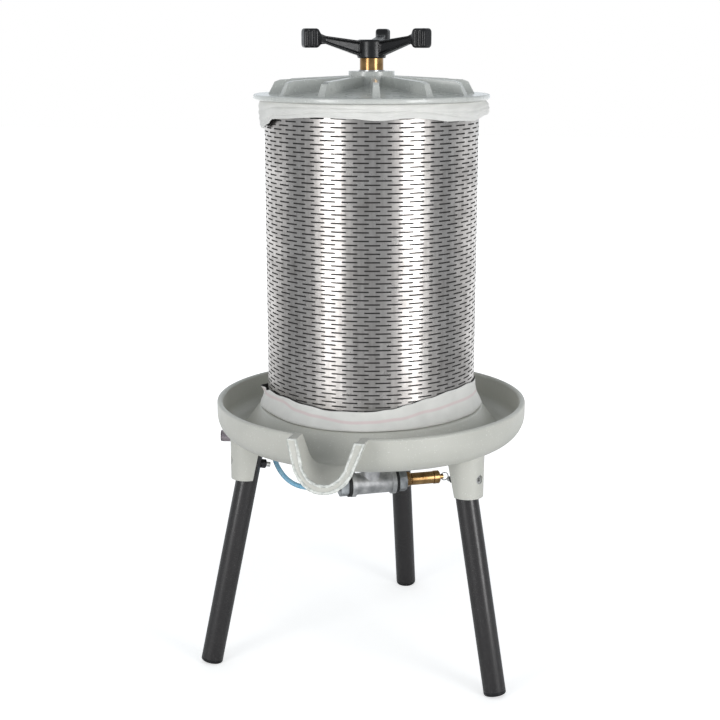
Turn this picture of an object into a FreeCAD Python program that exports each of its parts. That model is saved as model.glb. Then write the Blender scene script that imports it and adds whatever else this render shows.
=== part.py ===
"""Pneumatic fruit press on three legs.

A slotted basket stands in a cast juice tray. Air that comes in through a coupling under the tray inflates a
rubber bladder round the central column and presses the fruit against the basket. A ribbed lid is held down
on the column's thread by a brass bushing in a star handle.

Lengths are in millimetres and angles in degrees. Z points up from the floor, the column stands on the Z axis
and the spout points along -Y. An azimuth is measured from the spout, and grows towards +X.
"""

import FreeCAD, Part

import math
import os

import Sketcher

SIZES = {
    # Tray casting
    "tray_radius": 247.4,
    "rim_height": 430.0,
    "rim_width": 9.0,
    "rim_round": 3.5,
    "tray_depth": 60.0,
    "tray_round": 40.0,
    "gutter_depth": 50.5,
    "gutter_inner_radius": 208.0,
    "gutter_draft": 2.4,
    "gutter_round": 12.0,
    "gutter_outer_round": 20.0,
    "plateau_radius": 178.0,
    "plateau_drop": 10.5,
    "plateau_round": 4.0,
    "plateau_wall": 7.5,
    "centre_boss_radius": 45.0,
    "centre_boss_height": 17.0,
    # Spout
    "spout_half_width": 47.5,
    "spout_round": 36.0,
    "spout_wall": 9.5,
    "spout_floor": 7.0,
    "spout_fall": 11.5,
    "spout_top_reach": 268.0,
    "spout_reach": 290.0,
    "spout_root_lift": 0.5,
    "spout_sill": 3.0,
    # Legs
    "leg_radius": 17.5,
    "leg_wall": 2.0,
    "leg_splay": 11.86,
    "leg_top_height": 362.0,
    "foot_circle": 269.6,
    "foot_centre_height": 2.1,
    "left_leg_azimuth": -60.0,
    "right_leg_azimuth": 60.0,
    "back_leg_azimuth": 180.0,
    "cap_flange": 6.0,
    "cap_round": 2.5,
    "cap_wall": 2.0,
    "cap_length": 28.0,
    # Leg brackets, part of the tray casting
    "bracket_foot_height": 311.0,
    "bracket_foot_round": 24.5,
    "bracket_top_round": 28.5,
    "bracket_reach": 230.5,
    "bracket_overlap": 10.0,
    "bracket_cheek": 4.0,
    # Leg bolts
    "bolt_height": 335.0,
    "bolt_radius": 4.0,
    "bolt_head_radius": 6.5,
    "bolt_head_length": 8.0,
    "bolt_head_recess": 2.5,
    "bolt_socket_flats": 6.0,
    "bolt_tail": 15.0,
    "bolt_clearance": 0.2,
    "bolt_nut_flats": 13.0,
    "bolt_nut_height": 8.0,
    # Column and what it clamps
    "column_radius": 13.0,
    "column_bore": 6.0,
    "column_thread_radius": 10.0,
    "column_top_height": 980.0,
    "column_chamfer": 1.5,
    "column_collar_radius": 22.0,
    "column_collar_height": 6.0,
    "air_hole_radius": 3.0,
    "air_hole_low": 520.0,
    "air_hole_high": 640.0,
    "column_gasket_height": 3.0,
    "column_gasket_radius": 23.5,
    "column_nut_flats": 41.0,
    "column_nut_height": 12.0,
    # Bladder
    "membrane_radius": 60.0,
    "membrane_wall": 4.0,
    "membrane_top_height": 878.3,
    "membrane_round": 9.0,
    "clamp_radius": 49.0,
    "clamp_height": 6.0,
    "clamp_nut_flats": 30.0,
    "clamp_nut_height": 12.0,
    # Basket
    "basket_radius": 165.0,
    "basket_wall": 1.5,
    "basket_height": 479.3,
    "slot_length": 23.0,
    "slot_width": 2.2,
    "slots_per_row": 12,
    "slot_row_pairs": 6,
    "slot_row_step": 38.0,
    "slot_margin": 42.0,
    # Press cloth
    "cloth_thickness": 1.0,
    "cuff_height": 30.0,
    "cuff_bulge": 12.0,
    "cuff_bulge_height": 9.0,
    "cuff_shoulder_height": 24.0,
    "cuff_foot_inset": 3.0,
    "hem_height": 21.0,
    "hem_bulge": 13.0,
    "hem_top_inset": 1.0,
    # Lid
    "lid_radius": 181.3,
    "lid_flange": 7.7,
    "lid_edge_round": 2.5,
    "lid_dish_radius": 158.0,
    "lid_dish_rise": 12.5,
    "lid_wall": 8.5,
    "lid_boss_radius": 35.2,
    "lid_boss_height": 41.7,
    "lid_bore": 11.0,
    "lid_lip_depth": 5.0,
    "lid_lip_width": 6.5,
    "lid_lip_play": 1.7,
    "lid_rib_count": 12,
    "lid_rib_foot_width": 12.0,
    "lid_rib_top_width": 7.0,
    "lid_rib_crown": 34.9,
    "lid_rib_shoulder": 29.0,
    "lid_rib_shoulder_radius": 140.0,
    "lid_rib_edge_drop": 3.0,
    "lid_rib_edge_radius": 148.5,
    "lid_rib_turn": 16.7,
    "lid_rib_root": 2.0,
    # Handle
    "thrust_washer_radius": 20.0,
    "thrust_washer_height": 1.7,
    "bushing_radius": 18.0,
    "bushing_height": 17.6,
    "bushing_spigot_radius": 14.0,
    "bushing_spigot_height": 18.0,
    "hub_radius": 22.0,
    "hub_height": 27.6,
    "hub_roof": 6.6,
    "hub_round": 2.5,
    "arm_count": 3,
    "arm_root_radius": 17.0,
    "arm_root_width": 15.0,
    "arm_root_height": 24.5,
    "arm_root_lift": 0.5,
    "arm_tip_radius": 78.0,
    "arm_tip_width": 11.0,
    "arm_tip_height": 11.0,
    "arm_tip_lift": 22.5,
    "knob_start_radius": 86.0,
    "knob_end_radius": 109.5,
    "knob_width": 20.5,
    "knob_height": 28.5,
    "knob_lift": 15.5,
    "knob_round": 4.5,
    "handle_azimuth": 63.7,
    # Manifold
    "manifold_height": 283.0,
    "manifold_azimuth": 120.0,
    "manifold_radius": 18.0,
    "manifold_flange_radius": 21.0,
    "manifold_flange_width": 7.0,
    "manifold_right_length": 39.5,
    "manifold_left_length": 35.0,
    "manifold_bore": 8.0,
    "branch_radius": 17.0,
    "branch_length": 62.0,
    "branch_socket_depth": 42.0,
    "seal_width": 5.0,
    "seal_radius": 20.5,
    "adapter_flats": 34.0,
    "adapter_width": 14.0,
    "adapter_spigot_radius": 10.0,
    "adapter_spigot_length": 12.0,
    "adapter_bore": 4.0,
    "port_depth": 9.0,
    # Relief valve
    "valve_port_radius": 6.5,
    "valve_hex_flats": 22.0,
    "valve_hex_width": 8.0,
    "valve_body_radius": 10.25,
    "valve_body_length": 41.0,
    "valve_cap_radius": 11.0,
    "valve_cap_length": 10.0,
    "valve_groove": 1.2,
    "stem_radius": 2.5,
    "stem_depth": 22.0,
    "stem_head_radius": 4.25,
    "stem_head_length": 7.0,
    "ring_hole_radius": 2.2,
    "ring_radius": 6.5,
    "ring_wire_radius": 0.8,
    # Hose and its fittings
    "hose_radius": 4.0,
    "fitting_port_radius": 5.0,
    "fitting_hex_flats": 17.0,
    "fitting_hex_width": 8.0,
    "fitting_body_radius": 8.0,
    "fitting_body_length": 17.0,
    "collet_radius": 6.5,
    "collet_length": 5.0,
    # Air inlet
    "inlet_azimuth": -78.3,
    "inlet_height": 359.8,
    "lug_inner_radius": 199.0,
    "lug_outer_radius": 217.0,
    "lug_width": 26.0,
    "lug_depth": 14.0,
    "inlet_shank_radius": 7.0,
    "inlet_shank_inner": 186.0,
    "inlet_nut_flats": 20.0,
    "inlet_nut_width": 6.0,
    "socket_hex_flats": 17.0,
    "socket_hex_width": 7.0,
    "socket_radius": 7.4,
    "socket_reach": 245.0,
    "socket_lip_radius": 9.2,
    "socket_lip_width": 1.7,
    "socket_bore": 4.6,
    "socket_bore_depth": 14.0,
    "air_passage": 2.5,
    "sleeve_radius": 9.8,
    "sleeve_length": 15.5,
    "sleeve_chamfer": 1.0,
    "elbow_reach": 158.0,
    "elbow_radius": 8.0,
    "elbow_back": 8.0,
    "elbow_chamfer": 2.0,
    "elbow_leg": 9.0,
    "elbow_leg_radius": 7.5,
    "elbow_tilt": 30.0,
    "elbow_spigot_radius": 4.5,
    "elbow_spigot_length": 10.0,
    # How far solids that are joined run into each other
    "overlap": 1.0,
    # Clearances
    "running_gap": 0.05,
    "seat_gap": 0.1,
    "soft_gap": 0.3,
}

# The hose's route from the left fitting to the inlet elbow, chosen by hand along the visible curve
HOSE_ROUTE = [
    (-89.9, -51.9, 283.0),
    (-104.5, -57.0, 286.0),
    (-118.5, -58.6, 292.0),
    (-131.0, -58.4, 302.0),
    (-142.0, -56.0, 316.0),
]
HOSE_BEND_SHARE = 0.45


class Size:
    """A number that remembers the spreadsheet formula it comes from."""

    def __init__(self, number, formula):
        self.number = float(number)
        self.formula = formula

    def __float__(self):
        return self.number

    def __neg__(self):
        return Size(-self.number, f"(-1 * {self.formula})")

    def __add__(self, other):
        return Size(self.number + float(other), f"({self.formula} + {formula_of(other)})")

    def __radd__(self, other):
        return Size(float(other) + self.number, f"({formula_of(other)} + {self.formula})")

    def __sub__(self, other):
        return Size(self.number - float(other), f"({self.formula} - {formula_of(other)})")

    def __rsub__(self, other):
        return Size(float(other) - self.number, f"({formula_of(other)} - {self.formula})")

    def __mul__(self, other):
        return Size(self.number * float(other), f"({self.formula} * {formula_of(other)})")

    def __rmul__(self, other):
        return Size(float(other) * self.number, f"({formula_of(other)} * {self.formula})")

    def __truediv__(self, other):
        return Size(self.number / float(other), f"({self.formula} / {formula_of(other)})")


def formula_of(value):
    if isinstance(value, Size):
        return value.formula
    return str(value)


def sine(angle):
    return Size(math.sin(math.radians(float(angle))), f"sin({formula_of(angle)})")


def cosine(angle):
    return Size(math.cos(math.radians(float(angle))), f"cos({formula_of(angle)})")


def hypotenuse(one, other):
    formula = f"sqrt({formula_of(one)} * {formula_of(one)} + {formula_of(other)} * {formula_of(other)})"
    return Size(math.hypot(float(one), float(other)), formula)


class Sheet:
    """The spreadsheet of driving sizes, read as attributes."""

    def __init__(self, owner, sizes):
        table = owner.addObject("Spreadsheet::Sheet", "sizes")
        for row, (alias, number) in enumerate(sizes.items(), start=1):
            table.set(f"A{row}", alias)
            table.set(f"B{row}", str(number))
            table.setAlias(f"B{row}", alias)
            setattr(self, alias, Size(number, "sizes." + alias))


document = FreeCAD.newDocument("fruit_press")
size = Sheet(document, SIZES)
document.recompute()
nodes = []

# Heights and places that several pieces share
plateau_height = size.rim_height - size.plateau_drop
gutter_height = size.rim_height - size.gutter_depth
tray_foot = size.rim_height - size.tray_depth
wall_inside = size.tray_radius - size.rim_width
plateau_underside = plateau_height - size.plateau_wall
boss_foot = plateau_underside - size.centre_boss_height
slope_run = size.gutter_inner_radius - size.plateau_radius
slope_drop = plateau_height - gutter_height
slope_offset = size.plateau_wall * hypotenuse(slope_run, slope_drop) / slope_drop
column_bearing = size.column_radius + size.seat_gap
cloth_foot = plateau_height + size.soft_gap
basket_foot = cloth_foot + size.cloth_thickness + size.soft_gap
basket_top = basket_foot + size.basket_height
basket_bore = size.basket_radius - size.basket_wall
lid_foot = basket_top + size.cloth_thickness + 2 * size.soft_gap
boss_top = lid_foot + size.lid_boss_height
bushing_foot = boss_top + size.thrust_washer_height
hub_foot = bushing_foot + size.bushing_height
hub_top = hub_foot + size.hub_height
membrane_foot = plateau_height + size.soft_gap
lower_clamp_foot = membrane_foot + size.membrane_wall + size.soft_gap
collar_foot = lower_clamp_foot + size.clamp_height
support_foot = size.membrane_top_height - size.membrane_wall - size.soft_gap - size.clamp_height
upper_clamp_foot = size.membrane_top_height + size.soft_gap
thread_bearing = size.column_thread_radius + size.running_gap
column_foot = size.manifold_height + size.branch_length - size.branch_socket_depth
leg_bearing = size.leg_radius + size.seat_gap


def keep(item, label):
    """Name a finished sub-part and list it for the hand-over files."""
    item.Label = label
    nodes.append(item)
    return item


def bind(item, **values):
    for name, value in values.items():
        item.setExpression(name, formula_of(value))
    return item


def turn(axis, angle):
    return FreeCAD.Rotation(FreeCAD.Vector(*axis), float(angle))


def spot(x, y, z):
    return FreeCAD.Vector(float(x), float(y), float(z))


def facing(azimuth):
    """The rotation that turns +X to an azimuth."""
    return turn((0, 0, 1), float(azimuth) - 90)


def outward(azimuth, height, radius=0):
    """A frame whose Z runs outward along an azimuth, from a point at this radius and height."""
    rotation = facing(azimuth) * turn((0, 1, 0), 90)
    base = facing(azimuth).multVec(spot(radius, 0, 0)) + spot(0, 0, height)
    return FreeCAD.Placement(base, rotation)


def along_leg(azimuth, distance=0):
    """A frame whose Z runs up a leg's centre line, this far above the foot."""
    rotation = facing(azimuth) * turn((0, 1, 0), -float(size.leg_splay))
    foot = facing(azimuth).multVec(spot(size.foot_circle, 0, size.foot_centre_height))
    return FreeCAD.Placement(foot + rotation.multVec(spot(0, 0, distance)), rotation)


def upright(height=0, angle=0):
    return FreeCAD.Placement(spot(0, 0, height), turn((0, 0, 1), angle))


def cylinder(name, radius, length, placement):
    item = bind(document.addObject("Part::Cylinder", name), Radius=radius, Height=length)
    item.Placement = placement
    return item


def prism(name, flats, length, placement):
    """A hexagonal bar of this size across flats."""
    item = document.addObject("Part::Prism", name)
    item.Polygon = 6
    bind(item, Circumradius=flats / math.sqrt(3), Height=length)
    item.Placement = placement
    return item


def box(name, length, width, height, placement):
    item = bind(document.addObject("Part::Box", name), Length=length, Width=width, Height=height)
    item.Placement = placement
    return item


def fuse(name, items):
    item = document.addObject("Part::MultiFuse", name)
    item.Shapes = items
    return item


def cut(name, base, tools):
    """The base less every tool."""
    tool = tools[0]
    if len(tools) > 1:
        tool = fuse(name + "_tools", tools)
    item = document.addObject("Part::Cut", name)
    item.Base = base
    item.Tool = tool
    return item


def together(name, items):
    item = document.addObject("Part::Compound", name)
    item.Links = items
    return item


def draw_outline(sketch, corners):
    """Draw a closed outline of straight edges and tie each corner to its formulas."""
    points = [spot(x, y, 0) for x, y in corners]
    for index, point in enumerate(points):
        sketch.addGeometry(Part.LineSegment(point, points[(index + 1) % len(points)]), False)
    for index, (x, y) in enumerate(corners):
        following = (index + 1) % len(corners)
        sketch.addConstraint(Sketcher.Constraint("Coincident", index, 2, following, 1))
        pin_point(sketch, index, 1, x, y)


def pin_point(sketch, geometry, point, x, y):
    """Set the two coordinates of a sketch point from formulas."""
    for kind, value in (("DistanceX", x), ("DistanceY", y)):
        place = sketch.addConstraint(Sketcher.Constraint(kind, -1, 1, geometry, point, float(value)))
        if isinstance(value, Size):
            sketch.setExpression(f"Constraints[{place}]", value.formula)


def origin_feature(body, role):
    return next(item for item in body.Origin.OriginFeatures if item.Role == role)


def body_sketch(body, role, name):
    sketch = body.newObject("Sketcher::SketchObject", name)
    sketch.AttachmentSupport = [(origin_feature(body, role), "")]
    sketch.MapMode = "FlatFace"
    return sketch


def turned(name, corners, placement=None):
    """A body turned about its Z axis from a closed outline of (radius, height) corners."""
    body = document.addObject("PartDesign::Body", name)
    sketch = body_sketch(body, "XZ_Plane", name + "_outline")
    draw_outline(sketch, corners)
    feature = body.newObject("PartDesign::Revolution", name + "_turned")
    feature.Profile = sketch
    feature.ReferenceAxis = (sketch, ["V_Axis"])
    feature.Angle = 360
    if placement:
        body.Placement = placement
    return body


def round_rings(body, radius, rings):
    """Round the circular edges of a turned body that lie at these (radius, height) places."""
    document.recompute()
    base = body.Tip
    names = []
    for index, edge in enumerate(base.Shape.Edges, start=1):
        if not isinstance(edge.Curve, Part.Circle):
            continue
        for ring_radius, ring_height in rings:
            same_radius = abs(edge.Curve.Radius - float(ring_radius)) < 0.01
            if same_radius and abs(edge.Curve.Center.z - float(ring_height)) < 0.01:
                names.append(f"Edge{index}")
    fillet = body.newObject("PartDesign::Fillet", body.Name + "_round")
    fillet.Base = (base, names)
    bind(fillet, Radius=radius)
    return body


def tray_shell():
    """The turned part of the casting: rim, gutter, sloped wall, plateau and centre boss."""
    def underside(height):
        return size.plateau_radius + (plateau_height - height) * slope_run / slope_drop - slope_offset

    slope_foot = underside(tray_foot)
    body = turned("tray_shell", [
        (column_bearing, plateau_height),
        (size.plateau_radius, plateau_height),
        (size.gutter_inner_radius, gutter_height),
        (wall_inside - size.gutter_draft, gutter_height),
        (wall_inside, size.rim_height),
        (size.tray_radius, size.rim_height),
        (size.tray_radius, tray_foot),
        (slope_foot, tray_foot),
        (underside(plateau_underside), plateau_underside),
        (size.centre_boss_radius, plateau_underside),
        (size.centre_boss_radius, boss_foot),
        (column_bearing, boss_foot),
    ])
    round_rings(body, size.tray_round, [(size.tray_radius, tray_foot)])
    round_gutter(body)
    round_rings(body, size.rim_round, [
        (size.tray_radius, size.rim_height),
        (wall_inside, size.rim_height),
    ])
    round_rings(body, size.plateau_round, [(size.plateau_radius, plateau_height)])
    return body


def round_gutter(body):
    round_rings(body, size.gutter_round, [(size.gutter_inner_radius, gutter_height)])
    round_rings(body, size.gutter_outer_round, [(wall_inside - size.gutter_draft, gutter_height)])


def gutter_room():
    """The room in the gutter, kept free of the spout's root and the brackets."""
    top = size.rim_height + size.rim_width
    body = turned("gutter_room", [
        (size.plateau_radius, plateau_height),
        (size.gutter_inner_radius, gutter_height),
        (wall_inside - size.gutter_draft, gutter_height),
        (wall_inside, size.rim_height),
        (wall_inside, top),
        (size.plateau_radius, top),
    ])
    round_gutter(body)
    return body


def channel_section(name, reach, half_width, bend, foot, top):
    """A U across the spout: a round foot whose flared sides are tangent to it, closed along the top."""
    distance = hypotenuse(half_width, top - foot - bend)
    tilt = math.atan2(float(top - foot - bend), float(half_width)) - math.acos(float(bend) / float(distance))
    touch_x = float(bend) * math.cos(tilt)
    touch_z = float(foot + bend) + float(bend) * math.sin(tilt)
    sketch = document.addObject("Sketcher::SketchObject", name)
    left_top, right_top = spot(-half_width, top, 0), spot(half_width, top, 0)
    left_touch, right_touch = spot(-touch_x, touch_z, 0), spot(touch_x, touch_z, 0)
    lowest = spot(0, foot, 0)
    sketch.addGeometry(Part.LineSegment(left_top, left_touch), False)
    sketch.addGeometry(Part.Arc(left_touch, lowest, right_touch), False)
    sketch.addGeometry(Part.LineSegment(right_touch, right_top), False)
    sketch.addGeometry(Part.LineSegment(right_top, left_top), False)
    sketch.addConstraint(Sketcher.Constraint("Tangent", 0, 2, 1, 1))
    sketch.addConstraint(Sketcher.Constraint("Tangent", 1, 2, 2, 1))
    sketch.addConstraint(Sketcher.Constraint("Coincident", 2, 2, 3, 1))
    sketch.addConstraint(Sketcher.Constraint("Coincident", 3, 2, 0, 1))
    pin_point(sketch, 0, 1, -half_width, top)
    pin_point(sketch, 2, 2, half_width, top)
    pin_point(sketch, 1, 3, 0, foot + bend)
    radius = sketch.addConstraint(Sketcher.Constraint("Radius", 1, float(bend)))
    sketch.setExpression(f"Constraints[{radius}]", bend.formula)
    sketch.Placement = FreeCAD.Placement(spot(0, -reach, 0), turn((1, 0, 0), 90))
    return sketch


def loft(name, sections, ruled=True):
    item = document.addObject("Part::Loft", name)
    item.Sections = sections
    item.Solid = True
    item.Ruled = ruled
    return item


def spout_block():
    """The outside of the spout, from under the gutter to past its end."""
    start = size.gutter_inner_radius
    end = size.spout_reach + size.spout_wall
    half_width = size.spout_half_width + size.spout_wall
    bend = size.spout_round + size.spout_wall
    start_foot = tray_foot + size.spout_root_lift
    end_foot = tray_foot - size.spout_fall
    return loft("spout_block", [
        channel_section("spout_block_start", start, half_width, bend, start_foot, size.rim_height),
        channel_section("spout_block_end", end, half_width, bend, end_foot, size.rim_height),
    ])


def spout_channel():
    """The hollow of the spout, open at the top and through the tray's wall."""
    start = size.gutter_inner_radius
    end = size.spout_reach + 2 * size.spout_wall
    top = size.rim_height + size.spout_wall
    end_foot = tray_foot - size.spout_fall + size.spout_floor
    half_width = size.spout_half_width
    sill = gutter_height + size.spout_sill
    return loft("spout_channel", [
        channel_section("spout_channel_start", start, half_width, size.spout_round, sill, top),
        channel_section("spout_channel_end", end, half_width, size.spout_round, end_foot, top),
    ])


def spout_trim():
    """What cuts the spout's end to its slope."""
    lean = math.degrees(math.atan2(float(size.spout_reach - size.spout_top_reach),
                                   float(size.tray_depth + size.spout_fall)))
    block = 2 * size.spout_reach
    corner = FreeCAD.Placement(spot(0, -size.spout_top_reach, size.rim_height), turn((1, 0, 0), -lean))
    shift = FreeCAD.Placement(spot(-block / 2, -block, -block / 2), turn((0, 0, 1), 0))
    return box("spout_trim", block, block, block, corner * shift)


def leg_radius_at(height):
    """How far a leg's centre line stands from the axis at a height."""
    slope = sine(size.leg_splay) / cosine(size.leg_splay)
    return size.foot_circle - (height - size.foot_centre_height) * slope


def bracket_section(name, flat, bend, height, azimuth):
    """A D whose round side faces outward and whose flat side is open to the press's middle."""
    centre = size.bracket_reach - bend
    sketch = document.addObject("Sketcher::SketchObject", name)
    sketch.addGeometry(Part.LineSegment(spot(flat, bend, 0), spot(flat, -bend, 0)), False)
    sketch.addGeometry(Part.LineSegment(spot(flat, -bend, 0), spot(centre, -bend, 0)), False)
    round_side = Part.Arc(spot(centre, -bend, 0), spot(centre + bend, 0, 0), spot(centre, bend, 0))
    sketch.addGeometry(round_side, False)
    sketch.addGeometry(Part.LineSegment(spot(centre, bend, 0), spot(flat, bend, 0)), False)
    for index in range(4):
        sketch.addConstraint(Sketcher.Constraint("Coincident", index, 2, (index + 1) % 4, 1))
    pin_point(sketch, 0, 1, flat, bend)
    pin_point(sketch, 1, 1, flat, -bend)
    pin_point(sketch, 2, 1, centre, -bend)
    pin_point(sketch, 3, 1, centre, bend)
    middle = sketch.addConstraint(Sketcher.Constraint("DistanceX", -1, 1, 2, 3, float(centre)))
    sketch.setExpression(f"Constraints[{middle}]", centre.formula)
    sketch.Placement = FreeCAD.Placement(spot(0, 0, height), facing(azimuth))
    return sketch


def bracket(name, azimuth):
    """The block that is cast round the outer half of one leg."""
    top = tray_foot + size.bracket_overlap
    return loft(name, [
        bracket_section(name + "_foot", leg_radius_at(size.bracket_foot_height) - size.bracket_cheek,
                        size.bracket_foot_round, size.bracket_foot_height, azimuth),
        bracket_section(name + "_top", leg_radius_at(top) - size.bracket_cheek,
                        size.bracket_top_round, top, azimuth),
    ])


leg_length = (size.leg_top_height - size.foot_centre_height) / cosine(size.leg_splay)
bolt_place = (size.bolt_height - size.foot_centre_height) / cosine(size.leg_splay)
bolt_room = (size.bracket_reach - leg_radius_at(size.bolt_height)) / cosine(size.leg_splay)
bolt_head_seat = bolt_room - size.bolt_head_recess - size.bolt_head_length
lug_foot = size.inlet_height - size.lug_depth


def across_leg(azimuth, distance):
    """A frame whose Z runs outward along a leg's bolt, this far from the leg's centre line."""
    middle = along_leg(azimuth, bolt_place)
    rotation = middle.Rotation * turn((0, 1, 0), 90)
    return FreeCAD.Placement(middle.Base + rotation.multVec(spot(0, 0, distance)), rotation)


def leg_hollows(name, azimuth):
    """What a leg and its bolt take out of the casting."""
    length = leg_length + size.seat_gap
    head_room = 4 * size.bolt_head_length
    return [
        cylinder(name + "_bore", leg_bearing, length, along_leg(azimuth)),
        cylinder(name + "_bolt_hole", size.bolt_radius + size.bolt_clearance, bolt_room,
                 across_leg(azimuth, 0)),
        cylinder(name + "_bolt_recess", size.bolt_head_radius + size.bolt_clearance, head_room,
                 across_leg(azimuth, bolt_head_seat)),
    ]


LEGS = (
    ("left", size.left_leg_azimuth),
    ("right", size.right_leg_azimuth),
    ("back", size.back_leg_azimuth),
)


def tray():
    """The casting: shell, spout, three leg brackets and the air inlet's lug."""
    solids = [tray_shell(), spout_block()]
    hollows = [gutter_room(), spout_channel(), spout_trim()]
    for side, azimuth in LEGS:
        solids.append(bracket(side + "_bracket", azimuth))
        hollows.extend(leg_hollows(side + "_leg", azimuth))
    lug_corner = spot(size.lug_inner_radius, -size.lug_width / 2, lug_foot)
    lug_corner = facing(size.inlet_azimuth).multVec(lug_corner)
    solids.append(box("inlet_lug", size.lug_outer_radius - size.lug_inner_radius, size.lug_width,
                      tray_foot + size.bracket_overlap - lug_foot,
                      FreeCAD.Placement(lug_corner, facing(size.inlet_azimuth))))
    hollows.append(cylinder("inlet_lug_bore", size.inlet_shank_radius + size.seat_gap, 2 * size.lug_width,
                            outward(size.inlet_azimuth, size.inlet_height,
                                    size.lug_inner_radius - size.lug_width / 2)))
    keep(cut("tray", fuse("tray_casting", solids), hollows), "tray")


def leg(side, azimuth):
    outer = cylinder(f"{side}_leg_outside", size.leg_radius, leg_length - size.cap_flange,
                     along_leg(azimuth, size.cap_flange))
    inner = cylinder(f"{side}_leg_inside", size.leg_radius - size.leg_wall, leg_length,
                     along_leg(azimuth, size.cap_flange))
    hole = cylinder(f"{side}_leg_bolt_way", size.bolt_radius + size.bolt_clearance, 4 * size.leg_radius,
                    across_leg(azimuth, -2 * size.leg_radius))
    keep(cut(f"{side}_leg", outer, [inner, hole]), f"leg_{side}")


def foot_cap(side, azimuth):
    """A plug pushed into the tube's end, flush with it, and worn flat where it meets the floor."""
    spigot = size.leg_radius - size.leg_wall - size.running_gap
    plug = turned(f"{side}_cap_plug", [
        (0, 0),
        (size.leg_radius, 0),
        (size.leg_radius, size.cap_flange),
        (spigot, size.cap_flange),
        (spigot, size.cap_length),
        (spigot - size.cap_wall, size.cap_length),
        (spigot - size.cap_wall, size.cap_flange),
        (0, size.cap_flange),
    ])
    round_rings(plug, size.cap_round, [(size.leg_radius, 0)])
    plug.Placement = along_leg(azimuth)
    width = 6 * size.leg_radius
    corner = facing(azimuth).multVec(spot(size.foot_circle - width / 2, -width / 2, -size.cap_length))
    floor = box(f"{side}_cap_floor", width, width, size.cap_length,
                FreeCAD.Placement(corner, facing(azimuth)))
    keep(cut(f"{side}_cap", plug, [floor]), f"foot_cap_{side}")


def leg_bolt(side, azimuth):
    tail = -size.leg_radius - size.bolt_tail
    shank = turned(f"{side}_bolt_shank", [
        (0, 0),
        (size.bolt_radius, 0),
        (size.bolt_radius, bolt_head_seat - tail),
        (size.bolt_head_radius, bolt_head_seat - tail),
        (size.bolt_head_radius, bolt_head_seat - tail + size.bolt_head_length),
        (0, bolt_head_seat - tail + size.bolt_head_length),
    ], across_leg(azimuth, tail))
    socket = prism(f"{side}_bolt_socket", size.bolt_socket_flats, size.bolt_head_length,
                   across_leg(azimuth, bolt_head_seat + size.bolt_head_length / 2))
    return cut(f"{side}_bolt", shank, [socket])


def nut(name, flats, height, bore, placement):
    """A hexagon nut whose corners are turned off at both ends."""
    hexagon = prism(name + "_hexagon", flats, height, placement)
    corner = flats / math.sqrt(3)
    chamfer = turned(name + "_chamfer", [
        (bore, 0),
        (flats / 2, 0),
        (corner, (corner - flats / 2) / 2),
        (corner, height - (corner - flats / 2) / 2),
        (flats / 2, height),
        (bore, height),
    ], placement)
    item = document.addObject("Part::MultiCommon", name)
    item.Shapes = [hexagon, chamfer]
    return item


def fasteners():
    keep(together("leg_bolts", [leg_bolt(side, azimuth) for side, azimuth in LEGS]), "leg_bolts")
    seat = -size.leg_radius - size.bolt_nut_height
    bore = size.bolt_radius + size.running_gap
    keep(together("leg_nuts", [
        nut(f"{side}_leg_nut", size.bolt_nut_flats, size.bolt_nut_height, bore,
            across_leg(azimuth, seat))
        for side, azimuth in LEGS
    ]), "leg_nuts")


def column():
    """The hollow post: foot in the manifold, collar on the lower clamp, step and thread at the top."""
    blind_end = size.air_hole_high + 4 * size.column_bore
    post = turned("column_post", [
        (size.column_bore, column_foot),
        (size.column_radius, column_foot),
        (size.column_radius, collar_foot),
        (size.column_collar_radius, collar_foot),
        (size.column_collar_radius, collar_foot + size.column_collar_height),
        (size.column_radius, collar_foot + size.column_collar_height),
        (size.column_radius, support_foot),
        (size.column_thread_radius, support_foot),
        (size.column_thread_radius, size.column_top_height - size.column_chamfer),
        (size.column_thread_radius - size.column_chamfer, size.column_top_height),
        (0, size.column_top_height),
        (0, blind_end),
        (size.column_bore, blind_end),
    ])
    holes = []
    for level, height in (("low", size.air_hole_low), ("high", size.air_hole_high)):
        for azimuth in (0, 90):
            way = outward(azimuth, height, -2 * size.column_radius)
            holes.append(cylinder(f"air_hole_{level}_{azimuth}", size.air_hole_radius,
                                  4 * size.column_radius, way))
    keep(cut("column", post, holes), "column")


def washer(name, bore, radius, foot, height, placement=None):
    return turned(name, [
        (bore, foot),
        (radius, foot),
        (radius, foot + height),
        (bore, foot + height),
    ], placement)


def column_clamps():
    """What clamps the column to the tray and the bladder's ends to the column."""
    gasket_foot = boss_foot - size.column_gasket_height
    keep(washer("column_gasket", column_bearing, size.column_gasket_radius,
                gasket_foot, size.column_gasket_height), "column_gasket")
    nut_foot = gasket_foot - size.column_nut_height
    keep(nut("column_nut", size.column_nut_flats, size.column_nut_height,
             size.column_radius + size.running_gap, upright(nut_foot)), "column_nut")
    keep(washer("lower_clamp", column_bearing, size.clamp_radius, lower_clamp_foot, size.clamp_height),
         "lower_clamp_plate")
    keep(washer("upper_support", thread_bearing, size.clamp_radius, support_foot, size.clamp_height),
         "upper_support_plate")
    keep(washer("upper_clamp", thread_bearing, size.clamp_radius, upper_clamp_foot, size.clamp_height),
         "upper_clamp_plate")
    keep(nut("clamp_nut", size.clamp_nut_flats, size.clamp_nut_height, thread_bearing,
             upright(upper_clamp_foot + size.clamp_height)), "clamp_nut")


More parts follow.
